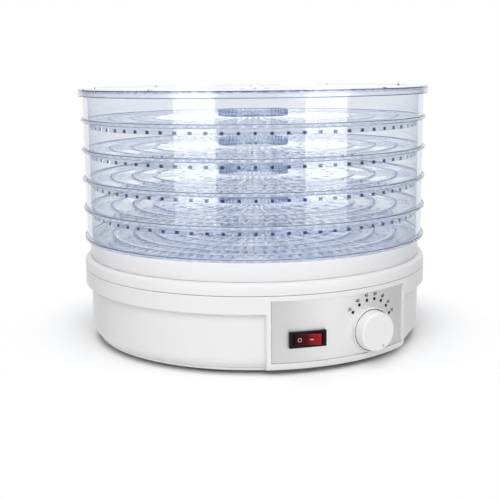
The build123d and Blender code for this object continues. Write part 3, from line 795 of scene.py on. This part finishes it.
def turned_shell():
    """The lower shell before its control pad: a floor with slots and a turned wall."""
    bm = bmesh.new()
    floor_rings = [0.0] + [r for ring in intake_rings for r in ring] + [floor_r]
    starts = [inner for inner, _ in intake_rings]

    def intake(ring, step):
        return floor_rings[ring] in starts and step % intake_every < intake_steps

    pierced_floor(bm, floor_rings, shell, intake)
    drop_rim(bm, floor_r)
    inside = [
        (floor_r, shell), (base_bottom_r - shell, shell), (base_lower_r - shell, corner_height),
        (base_lower_r - shell, undercut), (band_r - shell, band_bottom + shell), (band_r - shell, parting),
    ]
    outside = [
        (band_r, parting), (band_r, panel_top), (band_r, band_bottom), (base_lower_r, undercut),
        (base_lower_r, corner_height), (base_lower_r - 0.6, panel_bottom), (base_bottom_r + 3.6, 5.6),
        (base_bottom_r + 1.6, 3.0), (base_bottom_r + 0.4, 2.6), (base_bottom_r + 0.6, 2.0),
        (base_bottom_r, 0), (floor_r, 0),
    ]
    spin(bm, rounded(inside + outside, {6: 0.5, 8: 0.5, 9: 1.0}))
    merged(bm)
    return bm


housing = turned_shell()
print("lower shell:", len(housing.faces), "faces")

# %% [markdown]
# The control pad stands out of the shell as one soft block, upright in front and rounded at its foot. It
# could be a second piece that is joined on, but on the real base it is the same wall. So extra cuts mark
# its sides, and the points between them are moved outwards, less near the sides so that the edge is soft.

# %% Control pad
panel_half = 24.5
pad_azimuth = 29.1
pad_half = 26.2
pad_foot = 8.0
pad_foot_inset = 11.0
pad_top_margin = 0.6
near_side = 0.9
corner_slack = 1.0
inner_slack = 0.5
# degrees inside the pad's side, and how far the pad has risen there
pad_edge = ((0.0, 0.0), (0.1, 0.45), (0.25, 0.8), (0.5, 1.0))


def azimuth_of(point):
    """Degrees from the front, positive to the right."""
    return degrees(atan2(point.x, -point.y))


def at_azimuth(azimuth):
    """Unit vector outwards at an azimuth."""
    return Vector((sin(radians(azimuth)), -cos(radians(azimuth)), 0))


def cut_at(bm, azimuth):
    """Adds an upright cut through the outer wall on one side of the axis."""
    outward = at_azimuth(azimuth)
    geom = set()
    for face in bm.faces:
        middle = face.calc_center_median()
        if middle.dot(outward) > near_side * middle.xy.length and middle.xy.length > floor_r * MM:
            geom.add(face)
            geom.update(face.edges)
            geom.update(face.verts)
    bmesh.ops.bisect_plane(
        bm, geom=list(geom), dist=1e-7, plane_co=(0, 0, 0), plane_no=outward.cross(upright))


def pad_radius(height):
    """The pad's outer radius at a height: upright, with a rounded foot."""
    left = max(0.0, 1 - height / pad_foot)
    return band_r - pad_foot_inset * (1 - sqrt(1 - left * left))


def pad_share(inside):
    """How far a point has risen, from 0 to 1, by its degrees inside the pad's side edge."""
    for (inset, share), (next_inset, next_share) in zip(pad_edge, pad_edge[1:]):
        if inside <= next_inset + 1e-4:
            return share + (next_share - share) * (inside - inset) / (next_inset - inset)
    return 1.0


def push_out(point, distance):
    """Moves a point away from the axis by a distance in millimetres."""
    reach = hypot(point.x, point.y)
    grown = (reach + distance * MM) / reach
    point.x *= grown
    point.y *= grown


def is_inside(height, reach):
    """Whether a point of the turned wall lies on its inner face."""
    if height <= shell + hair:
        return height > hair and reach < base_bottom_r - shell + hair
    if height <= corner_height + hair:
        return reach < base_lower_r - shell + hair and height > corner_height - corner_slack
    if height <= undercut + hair:
        return reach < base_lower_r - shell + hair
    under_band = height <= band_bottom + hair
    return reach < (base_lower_r - inner_slack if under_band else band_r - shell + hair)


def raise_pad(bm):
    """Cuts the wall at the pad's and the panel's sides and moves what lies between outwards."""
    for side in (-1, 1):
        for inset, _ in pad_edge:
            cut_at(bm, pad_azimuth + side * (pad_half - inset))
        cut_at(bm, pad_azimuth + side * panel_half)
    moved = 0
    for v in bm.verts:
        depth = pad_half - abs(azimuth_of(v.co) - pad_azimuth)
        height = v.co.z / MM
        reach = hypot(v.co.x, v.co.y) / MM
        outer = reach > floor_r + corner_slack and not is_inside(height, reach)
        if depth > 0 and height < parting - pad_top_margin and outer:
            push_out(v.co, max(0.0, pad_radius(height) - reach) * pad_share(depth))
            moved += 1
    return moved


print("control pad:", raise_pad(housing), "points moved")

# %% [markdown]
# The panel lies in a shallow recess, so that its edge is covered. The faces of the pad's front that it
# covers are picked by their place, extruded, and pushed back towards the axis.

# %% Panel recess
panel_recess = 1.0
panel_thickness = 1.2
front_slack = 0.4


def recess_faces(bm):
    """The faces of the pad's front behind the panel."""
    found = []
    for face in bm.faces:
        middle = face.calc_center_median()
        depth = panel_half - abs(azimuth_of(middle) - pad_azimuth)
        outer = hypot(middle.x, middle.y) / MM > band_r - front_slack
        if depth > 0 and outer and panel_bottom < middle.z / MM < panel_top:
            found.append(face)
    return found


recess = recess_faces(housing)
for v in points_in(bmesh.ops.extrude_face_region(housing, geom=recess)["geom"]):
    push_out(v.co, -panel_recess - panel_thickness)
print("panel recess:", len(recess), "faces of", len(housing.faces))
bmesh.ops.delete(housing, geom=recess, context="FACES")
bmesh.ops.translate(housing, verts=housing.verts, vec=(0, 0, base_z))
housing_mesh = to_mesh(housing, "base_housing")
hang(housing_mesh, "base_housing_shell", "base", "white_plastic", white, "base_housing")

# %% [markdown]
# The upper shell carries the trays: a band that continues the lower shell past a fine parting line, a
# rounded shoulder with a crease, and the collar that the lowest tray stands on. Inside the collar lies the
# deck with the hot air outlet, and below the band a spigot drops into the lower shell. All of it is round,
# so one closed outline makes it.

# %% Top cover
parting_gap = 0.4
shoulder_low = 71.5
shoulder_top = 75.3
crease = 0.6
rest_r = 155.0
rest_inner = 152.8
rest_top = 91.84
deck_top = 79.5
deck_low = 77.0
deck_edge_r = 150.0
ledge_r = 61.5
ledge_top = 78.0
outlet_r = 58.0
spigot_r = 157.8
spigot_inner = 156.3
spigot_low = 60.7


def cover_mesh():
    """The upper shell, from its parting line over the collar and the deck back to the spigot."""
    bm = bmesh.new()
    low = parting + parting_gap
    outline = [
        (band_r, low), (band_r, shoulder_low), (159.5, 74.0), (156.2, shoulder_top),
        (rest_r - crease, shoulder_top), (rest_r - crease, shoulder_top + crease),
        (rest_r, shoulder_top + crease), (rest_r, rest_top), (rest_inner, rest_top),
        (rest_inner, deck_top), (ledge_r, deck_top), (ledge_r, ledge_top), (outlet_r, ledge_top),
        (outlet_r, deck_low), (deck_edge_r, deck_low), (spigot_inner, shoulder_low),
        (spigot_inner, spigot_low), (spigot_r, spigot_low), (spigot_r, low),
    ]
    spin(bm, rounded(outline, {0: 0.5, 1: 2.2, 2: 1.6, 3: 0.5, 7: 0.6, 8: 0.6, 9: 2.0}), closed=True)
    bmesh.ops.translate(bm, verts=bm.verts, vec=(0, 0, base_z))
    print("top cover:", len(bm.faces), "faces")
    return to_mesh(bm, "top_cover")


hang(cover_mesh(), "top_cover_shell", "base", "white_plastic", white, "top_cover")

# %% [markdown]
# The control panel is a thin metal plate with a satin face, bent to the base's curve. Flat things are
# easier to draw flat, so a helper bends a drawing round the axis afterwards. A Simple Deform modifier bends
# too, but round its own axis and not the base's.

# %% Control panel
panel_r = band_r - panel_recess
panel_gap = 0.3
panel_segments = 60
panel_corner = 1.0
panel_edge = 0.25


def bend(bm, azimuth, height):
    """Bends a flat drawing, in millimetres, round the panel: x to the right, y up, z outwards."""
    for v in bm.verts:
        x, y, z = v.co
        away = at_azimuth(azimuth + degrees(x / panel_r))
        v.co = away * ((panel_r + z) * MM) + Vector((0, 0, base_z + (height + y) * MM))


def panel_mesh():
    """The panel: a flat sheet with round corners, thickened, softened in front and bent."""
    bm = bmesh.new()
    bmesh.ops.create_grid(bm, x_segments=panel_segments, y_segments=1, size=1.0)
    half_width = radians(panel_half) * panel_r - panel_gap
    half_height = (panel_top - panel_bottom) / 2 - panel_gap
    bmesh.ops.scale(bm, verts=bm.verts, vec=(half_width, half_height, 1))
    corners = [v for v in bm.verts if abs(v.co.x) > half_width - hair]
    soften(bm, corners, panel_corner, corner_segments, "VERTICES")
    raised = bmesh.ops.extrude_face_region(bm, geom=list(bm.faces))["geom"]
    bmesh.ops.translate(bm, verts=points_in(raised), vec=(0, 0, panel_thickness))
    bm.normal_update()
    rim = [
        e for e in bm.edges
        if all(v.co.z > 0.5 * panel_thickness for v in e.verts)
        and any(abs(f.normal.z) < 0.5 for f in e.link_faces)
    ]
    soften(bm, rim, panel_edge)
    bmesh.ops.translate(bm, verts=bm.verts, vec=(0, 0, -panel_thickness))
    bend(bm, pad_azimuth, (panel_top + panel_bottom) / 2)
    print("control panel:", round(2 * half_width, 1), "by", round(2 * half_height, 1), "mm")
    return to_mesh(bm, "control_panel")


hang(panel_mesh(), "control_panel_plate", "base", "silver_panel", silver, "control_panel")

# %% [markdown]
# The scale round the knob is screen print: dots, and numbers for the temperature in degrees. A picture on
# the panel would do from afar, but letters that are a few hundredths of a millimetre thick stay sharp at
# any distance. Blender's text is a curve, so it is made a mesh before it is placed and bent.

# %% Dial scale
knob_azimuth = 37.5
knob_height = 28.0
scale_r = 26.0
scale_numbers = ["35", "40", "45", "50", "60", "65", "70"]
scale_first = -48.0
scale_step = 19.2
number_size = 3.8
number_offset = 4.2
dot_r = 1.45
dot_segments = 24
ink = 0.04
text_weight = 0.10


def lettering(text, size):
    """Text as a mesh, drawn flat and centred on the origin."""
    curve = bpy.data.curves.new("text", "FONT")
    curve.body = text
    curve.size = size
    curve.align_x = "CENTER"
    curve.align_y = "CENTER"
    curve.extrude = ink / 2
    curve.offset = text_weight
    holder = bpy.data.objects.new("text", curve)
    bpy.context.collection.objects.link(holder)
    drawn = holder.evaluated_get(bpy.context.evaluated_depsgraph_get())
    mesh = bpy.data.meshes.new_from_object(drawn)
    bpy.data.objects.remove(holder)
    return mesh


def scale_mesh():
    """Dots and numbers on a part of a circle round the knob."""
    bm = bmesh.new()
    proud = upright * ink
    for number, text in enumerate(scale_numbers):
        turn = radians(scale_first + number * scale_step)
        away = Vector((sin(turn), cos(turn), 0))
        bmesh.ops.create_cone(
            bm, segments=dot_segments, radius1=dot_r, radius2=dot_r, depth=ink, cap_ends=True,
            matrix=Matrix.Translation(away * scale_r + proud))
        mesh = lettering(text, number_size)
        mesh.transform(Matrix.Translation(away * (scale_r + number_offset) + proud))
        bm.from_mesh(mesh)
        bpy.data.meshes.remove(mesh)
    bend(bm, knob_azimuth, knob_height)
    print("dial scale:", len(scale_numbers), "numbers")
    return to_mesh(bm, "dial_scale")


hang(scale_mesh(), "dial_scale", "base", "black_plastic", black)

# %% [markdown]
# The knob turns in a raised ring, and the gap between them is what makes it read as a separate part. The
# knob tapers a little so that it leaves its mould, its front edge is rounded for the fingers, and a small
# pointer near the rim points at the scale: a grey disc, painted shade where the knob has a dimple. All three
# are turned upright, where spinning is simple, and then laid over to stand out of the panel.

# %% Knob and ring
knob_steps = 128
knob_base_r = 17.3
knob_face_r = 16.3
knob_low = 2.2
knob_top = 11.9
knob_chamfer = 0.6
knob_rim = 3.0
knob_dish = 0.25
ring_r = 19.0
ring_wall = 1.0
ring_foot = -4.5
ring_top = 3.4
pointer_steps = 32
pointer_r = 1.1
pointer_sink = 0.5
pointer_proud = 0.08
pointer_middle = 0.02
pointer_turn = 158.0
pointer_offset = 13.0


def stand(bm, azimuth, height, facing):
    """Stands a shape on the panel without bending it: x to the right, y up, z to the facing azimuth."""
    away = at_azimuth(facing)
    turn = Matrix((upright.cross(away), upright, away)).transposed().to_4x4()
    place = at_azimuth(azimuth) * panel_r * MM + upright * (base_z + height * MM)
    bmesh.ops.transform(bm, matrix=Matrix.Translation(place) @ turn, verts=bm.verts)


def finish_knob(bm, name):
    """Stands a drawing of the knob or its ring on the panel."""
    stand(bm, knob_azimuth, knob_height, pad_azimuth)
    return to_mesh(bm, name)


def knob_mesh():
    bm = bmesh.new()
    outline = [
        (0, knob_low), (knob_base_r - knob_chamfer, knob_low), (knob_base_r, knob_low + knob_chamfer),
        (knob_face_r, knob_top), (knob_face_r - knob_rim, knob_top), (0, knob_top - knob_dish),
    ]
    spin(bm, rounded(outline, {3: 1.4}), steps=knob_steps)
    return finish_knob(bm, "knob")


def ring_mesh():
    bm = bmesh.new()
    inner = ring_r - ring_wall
    outline = [(inner, ring_foot), (ring_r, ring_foot), (ring_r, ring_top), (inner, ring_top)]
    spin(bm, rounded(outline, {2: 0.45, 3: 0.45}), closed=True, steps=knob_steps)
    return finish_knob(bm, "knob_ring")


def pointer_mesh():
    bm = bmesh.new()
    foot = knob_top - pointer_sink
    outline = [
        (0, foot), (pointer_r, foot), (pointer_r, knob_top + pointer_proud), (0, knob_top + pointer_middle),
    ]
    spin(bm, rounded(outline, {2: 0.05}), steps=pointer_steps)
    turn = radians(pointer_turn)
    bmesh.ops.translate(bm, verts=bm.verts, vec=Vector((sin(turn), cos(turn), 0)) * pointer_offset * MM)
    return finish_knob(bm, "pointer")


hang(knob_mesh(), "knob_cap", "knob", "white_plastic", knob_white, "knob")
hang(ring_mesh(), "knob_ring_bead", "base", "white_plastic", white, "knob_ring")
hang(pointer_mesh(), "knob_pointer", "knob", "white_plastic", pointer_painted_shade)
print("knob:", 2 * knob_base_r, "mm across in a ring of", 2 * ring_r, "mm")

# %% [markdown]
# The mains switch is a bought-in part that snaps into the panel. Its black housing is a plate with round
# corners whose front and back are extruded in turn: forwards and inwards to a pocket for the rocker, and
# backwards to the body behind the panel. A Boolean could cut the pocket, but extruding keeps even walls.

# %% Switch housing
switch_azimuth = 15.5
switch_height = 27.8
frame_w = 31.9
frame_h = 13.7
frame_front = 2.0
frame_back = -1.6
frame_corner = 0.6
frame_edge = 0.4
switch_body_w = 29.8
switch_body_h = 12.2
switch_body_back = -20.0
pocket_floor = -9.0
rocker_reach = 12.2
rocker_width = 9.0
rocker_gap = 0.3


def box_edges(bm, height):
    """Edges at a height where a level face meets an upright one."""
    bm.normal_update()
    return [
        e for e in bm.edges
        if all(abs(v.co.z - height) < hair for v in e.verts)
        and any(abs(f.normal.z) > 0.5 for f in e.link_faces)
        and any(abs(f.normal.z) < 0.5 for f in e.link_faces)
    ]


def extrude_to(bm, face, height):
    """Extrudes one level face to a height and returns the moved face."""
    raised = bmesh.ops.extrude_discrete_faces(bm, faces=[face])["faces"][0]
    for v in raised.verts:
        v.co.z = height
    return raised


def resize(face, size_x, size_y):
    """Scales a level face about the origin to a size."""
    half_x = max(abs(v.co.x) for v in face.verts)
    half_y = max(abs(v.co.y) for v in face.verts)
    for v in face.verts:
        v.co.x *= size_x / 2 / half_x
        v.co.y *= size_y / 2 / half_y


def switch_mesh():
    bm = bmesh.new()
    x, y = frame_w / 2, frame_h / 2
    plate = rounded([(-x, -y), (x, -y), (x, y), (-x, y)], dict.fromkeys(range(4), frame_corner))
    rim = [bm.verts.new((x, y, frame_back)) for x, y in plate]
    front = extrude_to(bm, bm.faces.new(rim), frame_front)
    front = extrude_to(bm, front, frame_front)
    resize(front, 2 * (rocker_reach + rocker_gap), rocker_width + 2 * rocker_gap)
    back = extrude_to(bm, bm.faces.new(rim), frame_back)
    resize(back, switch_body_w, switch_body_h)
    extrude_to(bm, back, switch_body_back)
    extrude_to(bm, front, pocket_floor)
    soften(bm, box_edges(bm, frame_front), frame_edge, 3)
    bmesh.ops.scale(bm, verts=bm.verts, vec=(MM, MM, MM))
    stand(bm, switch_azimuth, switch_height, switch_azimuth)
    print("switch housing:", len(bm.faces), "faces")
    return to_mesh(bm, "switch_frame")


hang(switch_mesh(), "switch_frame", "base", "black_plastic", black, "switch_body")

# %% [markdown]
# The rocker is clear red plastic over a small lamp. In profile it is a shallow V on a round body, so one
# half always stands out; here the left half is pressed, which is off. The profile is drawn flat, extruded
# to its width and tipped about its hinge. A colour ramp along the rocker paints its light and shade into
# the red: painted shade deep at the pressed end and at both ends, and a painted glow brighter right of the
# middle. A lamp inside could light it too, but far more slowly.

# %% Rocker
rocker_hinge = -1.5
rocker_floor = -4.5
rocker_levels = (rocker_floor, -3.0, rocker_hinge, 0.0, 1.5, 3.0)
rocker_valley = 2.3
rocker_tilt = 9.0
rocker_tip = 0.907
rocker_edge = 0.4
# painted light and shade along the rocker: dark ends, a painted glow right of the middle
rocker_painted_shades = (
    (0.0, (0.01, 0.0003, 0.0006, 1)), (0.12, (0.03, 0.0006, 0.001, 1)), (0.45, (0.06, 0.0006, 0.002, 1)),
    (0.58, (0.20, 0.003, 0.008, 1)), (0.90, (0.33, 0.005, 0.014, 1)), (1.0, (0.03, 0.0005, 0.001, 1)),
)
rocker_sheen = 0.35
rocker_gloss = 0.10
speckle_scale = 700.0
speckle_tone = 0.06
speckle_gloss = 0.08


def rock(bm):
    """Tips a drawing of the rocker to its off side and stands it in the switch."""
    hinge = Vector((0, 0, rocker_hinge))
    turn = Matrix.Rotation(radians(-rocker_tilt), 4, "Y")
    place = Matrix.Scale(MM, 4) @ Matrix.Translation(hinge) @ turn @ Matrix.Translation(-hinge)
    bmesh.ops.transform(bm, matrix=place, verts=bm.verts)
    stand(bm, switch_azimuth, switch_height, switch_azimuth)


def rocker_mesh():
    bm = bmesh.new()
    tip = rocker_reach * rocker_tip
    side = [(sqrt(rocker_reach**2 - (z - rocker_hinge) ** 2), z) for z in rocker_levels]
    half = side + [(tip, rocker_valley + tip * tan(radians(rocker_tilt)))]
    outline = half + [(0.0, rocker_valley)] + [(-x, z) for x, z in reversed(half)]
    near = bm.faces.new([bm.verts.new((x, -rocker_width / 2, z)) for x, z in outline])
    far = bmesh.ops.extrude_face_region(bm, geom=[near])["geom"]
    bmesh.ops.translate(bm, verts=points_in(far), vec=(0, rocker_width, 0))
    bm.normal_update()
    edges = [e for e in bm.edges if len(e.link_faces) == 2 and e.calc_face_angle() > radians(30)]
    soften(bm, edges, rocker_edge, 3)
    rock(bm)
    print("rocker:", len(bm.faces), "faces")
    return to_mesh(bm, "rocker")


def paint_rocker_light_and_shade():
    """Clear red plastic with painted shade at both ends and a painted glow brightest right of the middle."""
    material, wires, shader = new_material("red_plastic")
    outward = at_azimuth(switch_azimuth)
    place = wires.node("ShaderNodeTexCoord", out="Object")
    from_middle = wires.node(
        "ShaderNodeVectorMath", {"operation": "SUBTRACT"}, {0: place, 1: outward * panel_r * MM})
    along = wires.node(
        "ShaderNodeVectorMath", {"operation": "DOT_PRODUCT"},
        {0: from_middle, 1: upright.cross(outward)}, out="Value")
    share = along * (0.5 / rocker_reach / MM) + 0.5
    speckle = grain(wires, speckle_scale)
    uneven = share + speckle_tone * speckle - speckle_tone / 2
    tone = wires.node("ShaderNodeValToRGB", {"stops": rocker_painted_shades}, {"Fac": uneven})
    feed(wires, tone, shader["Base Color"])
    feed(wires, rocker_gloss + speckle_gloss * speckle, shader["Roughness"])
    shader["Specular IOR Level"].default_value = rocker_sheen
    return material


red = paint_rocker_light_and_shade()
hang(rocker_mesh(), "rocker_paddle", "rocker", "red_plastic", red, "rocker")

# %% [markdown]
# A ring marks the off side and a bar the on side, printed on the rocker's two slopes. Each mark is a thin
# solid that sinks a little into the plastic, so nothing flickers between print and rocker.

# %% Rocker marks
mark_sink = 0.1
off_ring_inner = 1.3
off_ring_r = 1.7
off_ring_steps = 48
off_place = -6.6
on_bar = (3.0, 0.7, mark_sink + ink)
on_place = 3.4


def mark_place(x):
    """A frame on one of the rocker's two slopes, at a distance from its middle."""
    lean = Matrix.Rotation(radians(-rocker_tilt if x > 0 else rocker_tilt), 4, "Y")
    height = rocker_valley + abs(x) * tan(radians(rocker_tilt))
    return Matrix.Translation((x, 0, height)) @ lean


def marks_mesh():
    bm = bmesh.new()
    ring = [(off_ring_inner, -mark_sink), (off_ring_r, -mark_sink), (off_ring_r, ink), (off_ring_inner, ink)]
    spin(bm, [(r / MM, z / MM) for r, z in ring], closed=True, steps=off_ring_steps)
    bmesh.ops.transform(bm, matrix=mark_place(off_place), verts=bm.verts)
    bar = bmesh.ops.create_cube(bm, size=1.0)["verts"]
    bmesh.ops.scale(bm, verts=bar, vec=on_bar)
    bmesh.ops.transform(bm, matrix=mark_place(on_place), verts=bar)
    rock(bm)
    print("rocker marks:", len(bm.faces), "faces")
    return to_mesh(bm, "rocker_marks")


hang(marks_mesh(), "rocker_marks", "rocker", "white_plastic", mark_ink)

# %% [markdown]
# Everything that stays a plain machined, stamped or wound part keeps its frame shape and gets its finish
# here: the motor, the heater, the fan and the small fasteners. The record says what each is made of, so one
# table from that name to a finish does for all of them.

# %% Finishes of the carried-over pieces
finishes = {
    "zinc_steel": metal("zinc_steel", (0.62, 0.62, 0.62), 0.35),
    "lamination_steel": metal("lamination_steel", (0.28, 0.28, 0.30), 0.5),
    "cast_aluminium": metal("cast_aluminium", (0.66, 0.66, 0.67), 0.45),
    "copper": metal("copper", (0.72, 0.38, 0.20), 0.35),
    "bronze": metal("bronze", (0.60, 0.44, 0.24), 0.4),
    "brass": metal("brass", (0.78, 0.62, 0.32), 0.3),
    "resistance_wire": metal("resistance_wire", (0.45, 0.43, 0.40), 0.5),
    "mica": moulded("mica", (0.55, 0.50, 0.40), 0.6),
    "bakelite": moulded("bakelite", (0.12, 0.09, 0.07), 0.5),
    "fan_plastic": moulded("fan_plastic", (0.75, 0.75, 0.72), 0.5),
    "grille_paint": moulded("grille_paint", (0.80, 0.80, 0.80), 0.4),
    "rubber": moulded("rubber", (0.03, 0.03, 0.03), 0.7),
    "wire_sleeve": moulded("wire_sleeve", (0.80, 0.80, 0.77), 0.7),
    "black_plastic": black,
    "white_plastic": white,
    "silver_panel": silver,
    "red_plastic": red,
    "clear_plastic": clear,
}
for entry in frame["record"]["subparts"]:
    node = frame["nodes"][entry["node"]]
    node.data.materials.clear()
    node.data.materials.append(finishes[entry["material_slot"]])

# %% [markdown]
# The lamps: two tall softboxes in front, one on each side, show as bright upright bands on the curved walls.
# Only mirrors and clear plastic see them. A large soft lamp overhead and a key lamp high in front light the
# white base; the key is hidden from reflections, so that it adds no third band. One big window would be
# simpler, but its single band would hide the middle of the trays.

# %% Lamps
softbox_distance = 1.15
# azimuth, width and power
softboxes = [(-35.5, 0.54, 1.6), (45.0, 0.56, 1.75)]
softbox_height = 0.325
softbox_foot = -0.045
overhead_place = Vector((0, -0.1, 1.5))
overhead_size = (1.2, 1.2)
overhead_power = 8.0
key_place = Vector((-0.06, -1.3, 1.05))
key_size = (1.4, 0.9)
key_power = 15.0


def add_light(name, shape, size, power, place, facing):
    """A soft area lamp that looks from its place against the facing direction."""
    data = bpy.data.lights.new(name, "AREA")
    data.shape = shape
    data.size, data.size_y = size
    data.energy = power
    lamp = bpy.data.objects.new(name, data)
    lamp.matrix_world = Matrix.Translation(place) @ facing.to_track_quat("Z", "Y").to_matrix().to_4x4()
    bpy.context.collection.objects.link(lamp)
    return lamp


for number, (azimuth, width, power) in enumerate(softboxes):
    outward = at_azimuth(azimuth)
    place = outward * softbox_distance + upright * (softbox_foot + softbox_height / 2)
    softbox = add_light(f"softbox_{number}", "RECTANGLE", (width, softbox_height), power, place, outward)
    softbox.visible_diffuse = False
add_light("overhead", "DISK", overhead_size, overhead_power, overhead_place, upright)
key = add_light("key", "RECTANGLE", key_size, key_power, key_place, key_place)
key.visible_glossy = False
print("lamps:", len(bpy.data.lights))

# %% [markdown]
# The room is white. The camera, reflections and clear plastic see it at full strength, while it lights the
# object only softly, so that the lamps still shape the base.

# %% White room
room_light = 0.40

world = bpy.data.worlds.new("studio")
bpy.context.scene.world = world
world.use_nodes = True
wires = Wire(world.node_tree)
camera_ray = wires.node("ShaderNodeLightPath", out="Is Camera Ray")
glossy_ray = wires.node("ShaderNodeLightPath", out="Is Glossy Ray")
through_ray = wires.node("ShaderNodeLightPath", out="Is Transmission Ray")
seen = wires.math("MINIMUM", camera_ray + glossy_ray + through_ray, 1.0)
lit = world.node_tree.nodes["Background"].inputs
lit["Color"].default_value = (1, 1, 1, 1)
feed(wires, room_light + (1 - room_light) * seen, lit["Strength"])
print("room light:", room_light)

# %% [markdown]
# The floor is white paper. It takes the object's shadow, has a painted shadow right under it, where its
# colour is darker, and fades into the white room further out, so that no horizon shows. A shadow catcher
# would need the picture to be put together afterwards.

# %% Paper floor
floor_half = 6.0
paper_tone = 0.95
# painted shadow: the paper's colour darkens right under the object
painted_shadow_tone = 0.60
painted_shadow_from, painted_shadow_to = 0.146, 0.157
fade_from, fade_to = 0.16, 0.25


def stage_piece(bm, name, material):
    """A piece of the studio, which isn't part of the object."""
    mesh = to_mesh(bm, name)
    mesh.materials.append(material)
    made = bpy.data.objects.new(name, mesh)
    bpy.context.collection.objects.link(made)
    return made


def soft_step(wires, value, start, end, low=0.0, high=1.0):
    """A smooth rise from low to high between two values."""
    return wires.node(
        "ShaderNodeMapRange", {"interpolation_type": "SMOOTHSTEP"},
        {"Value": value, "From Min": start, "From Max": end, "To Min": low, "To Max": high})


def floor_material():
    """White paper with a painted shadow under the object, fading into the white room away from it."""
    material, wires, shader = new_material("floor")
    shader["Roughness"].default_value = 0.9
    shader["Specular IOR Level"].default_value = 0.0
    place = wires.node("ShaderNodeTexCoord", out="Object")
    away = wires.node("ShaderNodeVectorMath", {"operation": "LENGTH"}, {0: place}, out="Value")
    feed(wires, soft_step(wires, away, painted_shadow_from, painted_shadow_to, painted_shadow_tone, paper_tone), shader["Base Color"])
    fade = soft_step(wires, away, fade_from, fade_to)
    room = wires.node("ShaderNodeEmission", sockets={"Color": (1, 1, 1, 1), "Strength": 1.0})
    mixed = wires.node("ShaderNodeMixShader", sockets={0: fade, 1: principled(wires), 2: room})
    feed(wires, mixed, wires.tree.nodes["Material Output"].inputs["Surface"])
    return material


floor_bm = bmesh.new()
bmesh.ops.create_grid(floor_bm, x_segments=1, y_segments=1, size=floor_half)
paper_floor = stage_piece(floor_bm, "floor", floor_material())
paper_floor.visible_glossy = False
print("paper floor:", 2 * floor_half, "m wide")

# %% [markdown]
# In a white room a clear object has no edges, so photographers put grey cards where it mirrors them. Here
# one card curves round the front and the sides. Only reflections see it: it is what the walls mirror between
# the two bright bands, and where it ends, a light strip runs down each side of the trays.

# %% Grey card
card_r = 1.7
card_half = 138.0
card_steps = 24
card_foot = -0.6
card_height = 2.0
card_grey = (0.30, 0.30, 0.30, 1)

card_material, _, card_shader = new_material("card")
card_shader["Base Color"].default_value = (0.0, 0.0, 0.0, 1)
card_shader["Roughness"].default_value = 1.0
card_shader["Specular IOR Level"].default_value = 0.0
card_shader["Emission Strength"].default_value = 1.0
card_shader["Emission Color"].default_value = card_grey
card_bm = bmesh.new()
foot_line = [
    card_bm.verts.new(at_azimuth(card_half * k / card_steps) * card_r + upright * card_foot)
    for k in range(-card_steps, card_steps + 1)
]
for pair in zip(foot_line, foot_line[1:]):
    card_bm.edges.new(pair)
risen = bmesh.ops.extrude_edge_only(card_bm, edges=list(card_bm.edges))["geom"]
bmesh.ops.translate(card_bm, verts=points_in(risen), vec=(0, 0, card_height))
card = stage_piece(card_bm, "card", card_material)
card.visible_camera = False
card.visible_diffuse = False
card.visible_transmission = False
card.visible_shadow = False
print("grey card:", 2 * card_half, "degrees round the front")

# %% [markdown]
# Light that enters a stack of clear trays meets dozens of faces before it leaves. Each kind of bounce has a
# limit, and a path that reaches one ends black, which would draw dark bands along the flanges. So the
# limits for clear and mirroring surfaces are set high.

# %% Light paths
clear_bounces = 64
diffuse_bounces = 4

cycles = bpy.context.scene.cycles
cycles.max_bounces = clear_bounces
cycles.transmission_bounces = clear_bounces
cycles.transparent_max_bounces = clear_bounces
cycles.glossy_bounces = clear_bounces
cycles.diffuse_bounces = diffuse_bounces
print("light paths:", clear_bounces, "bounces")
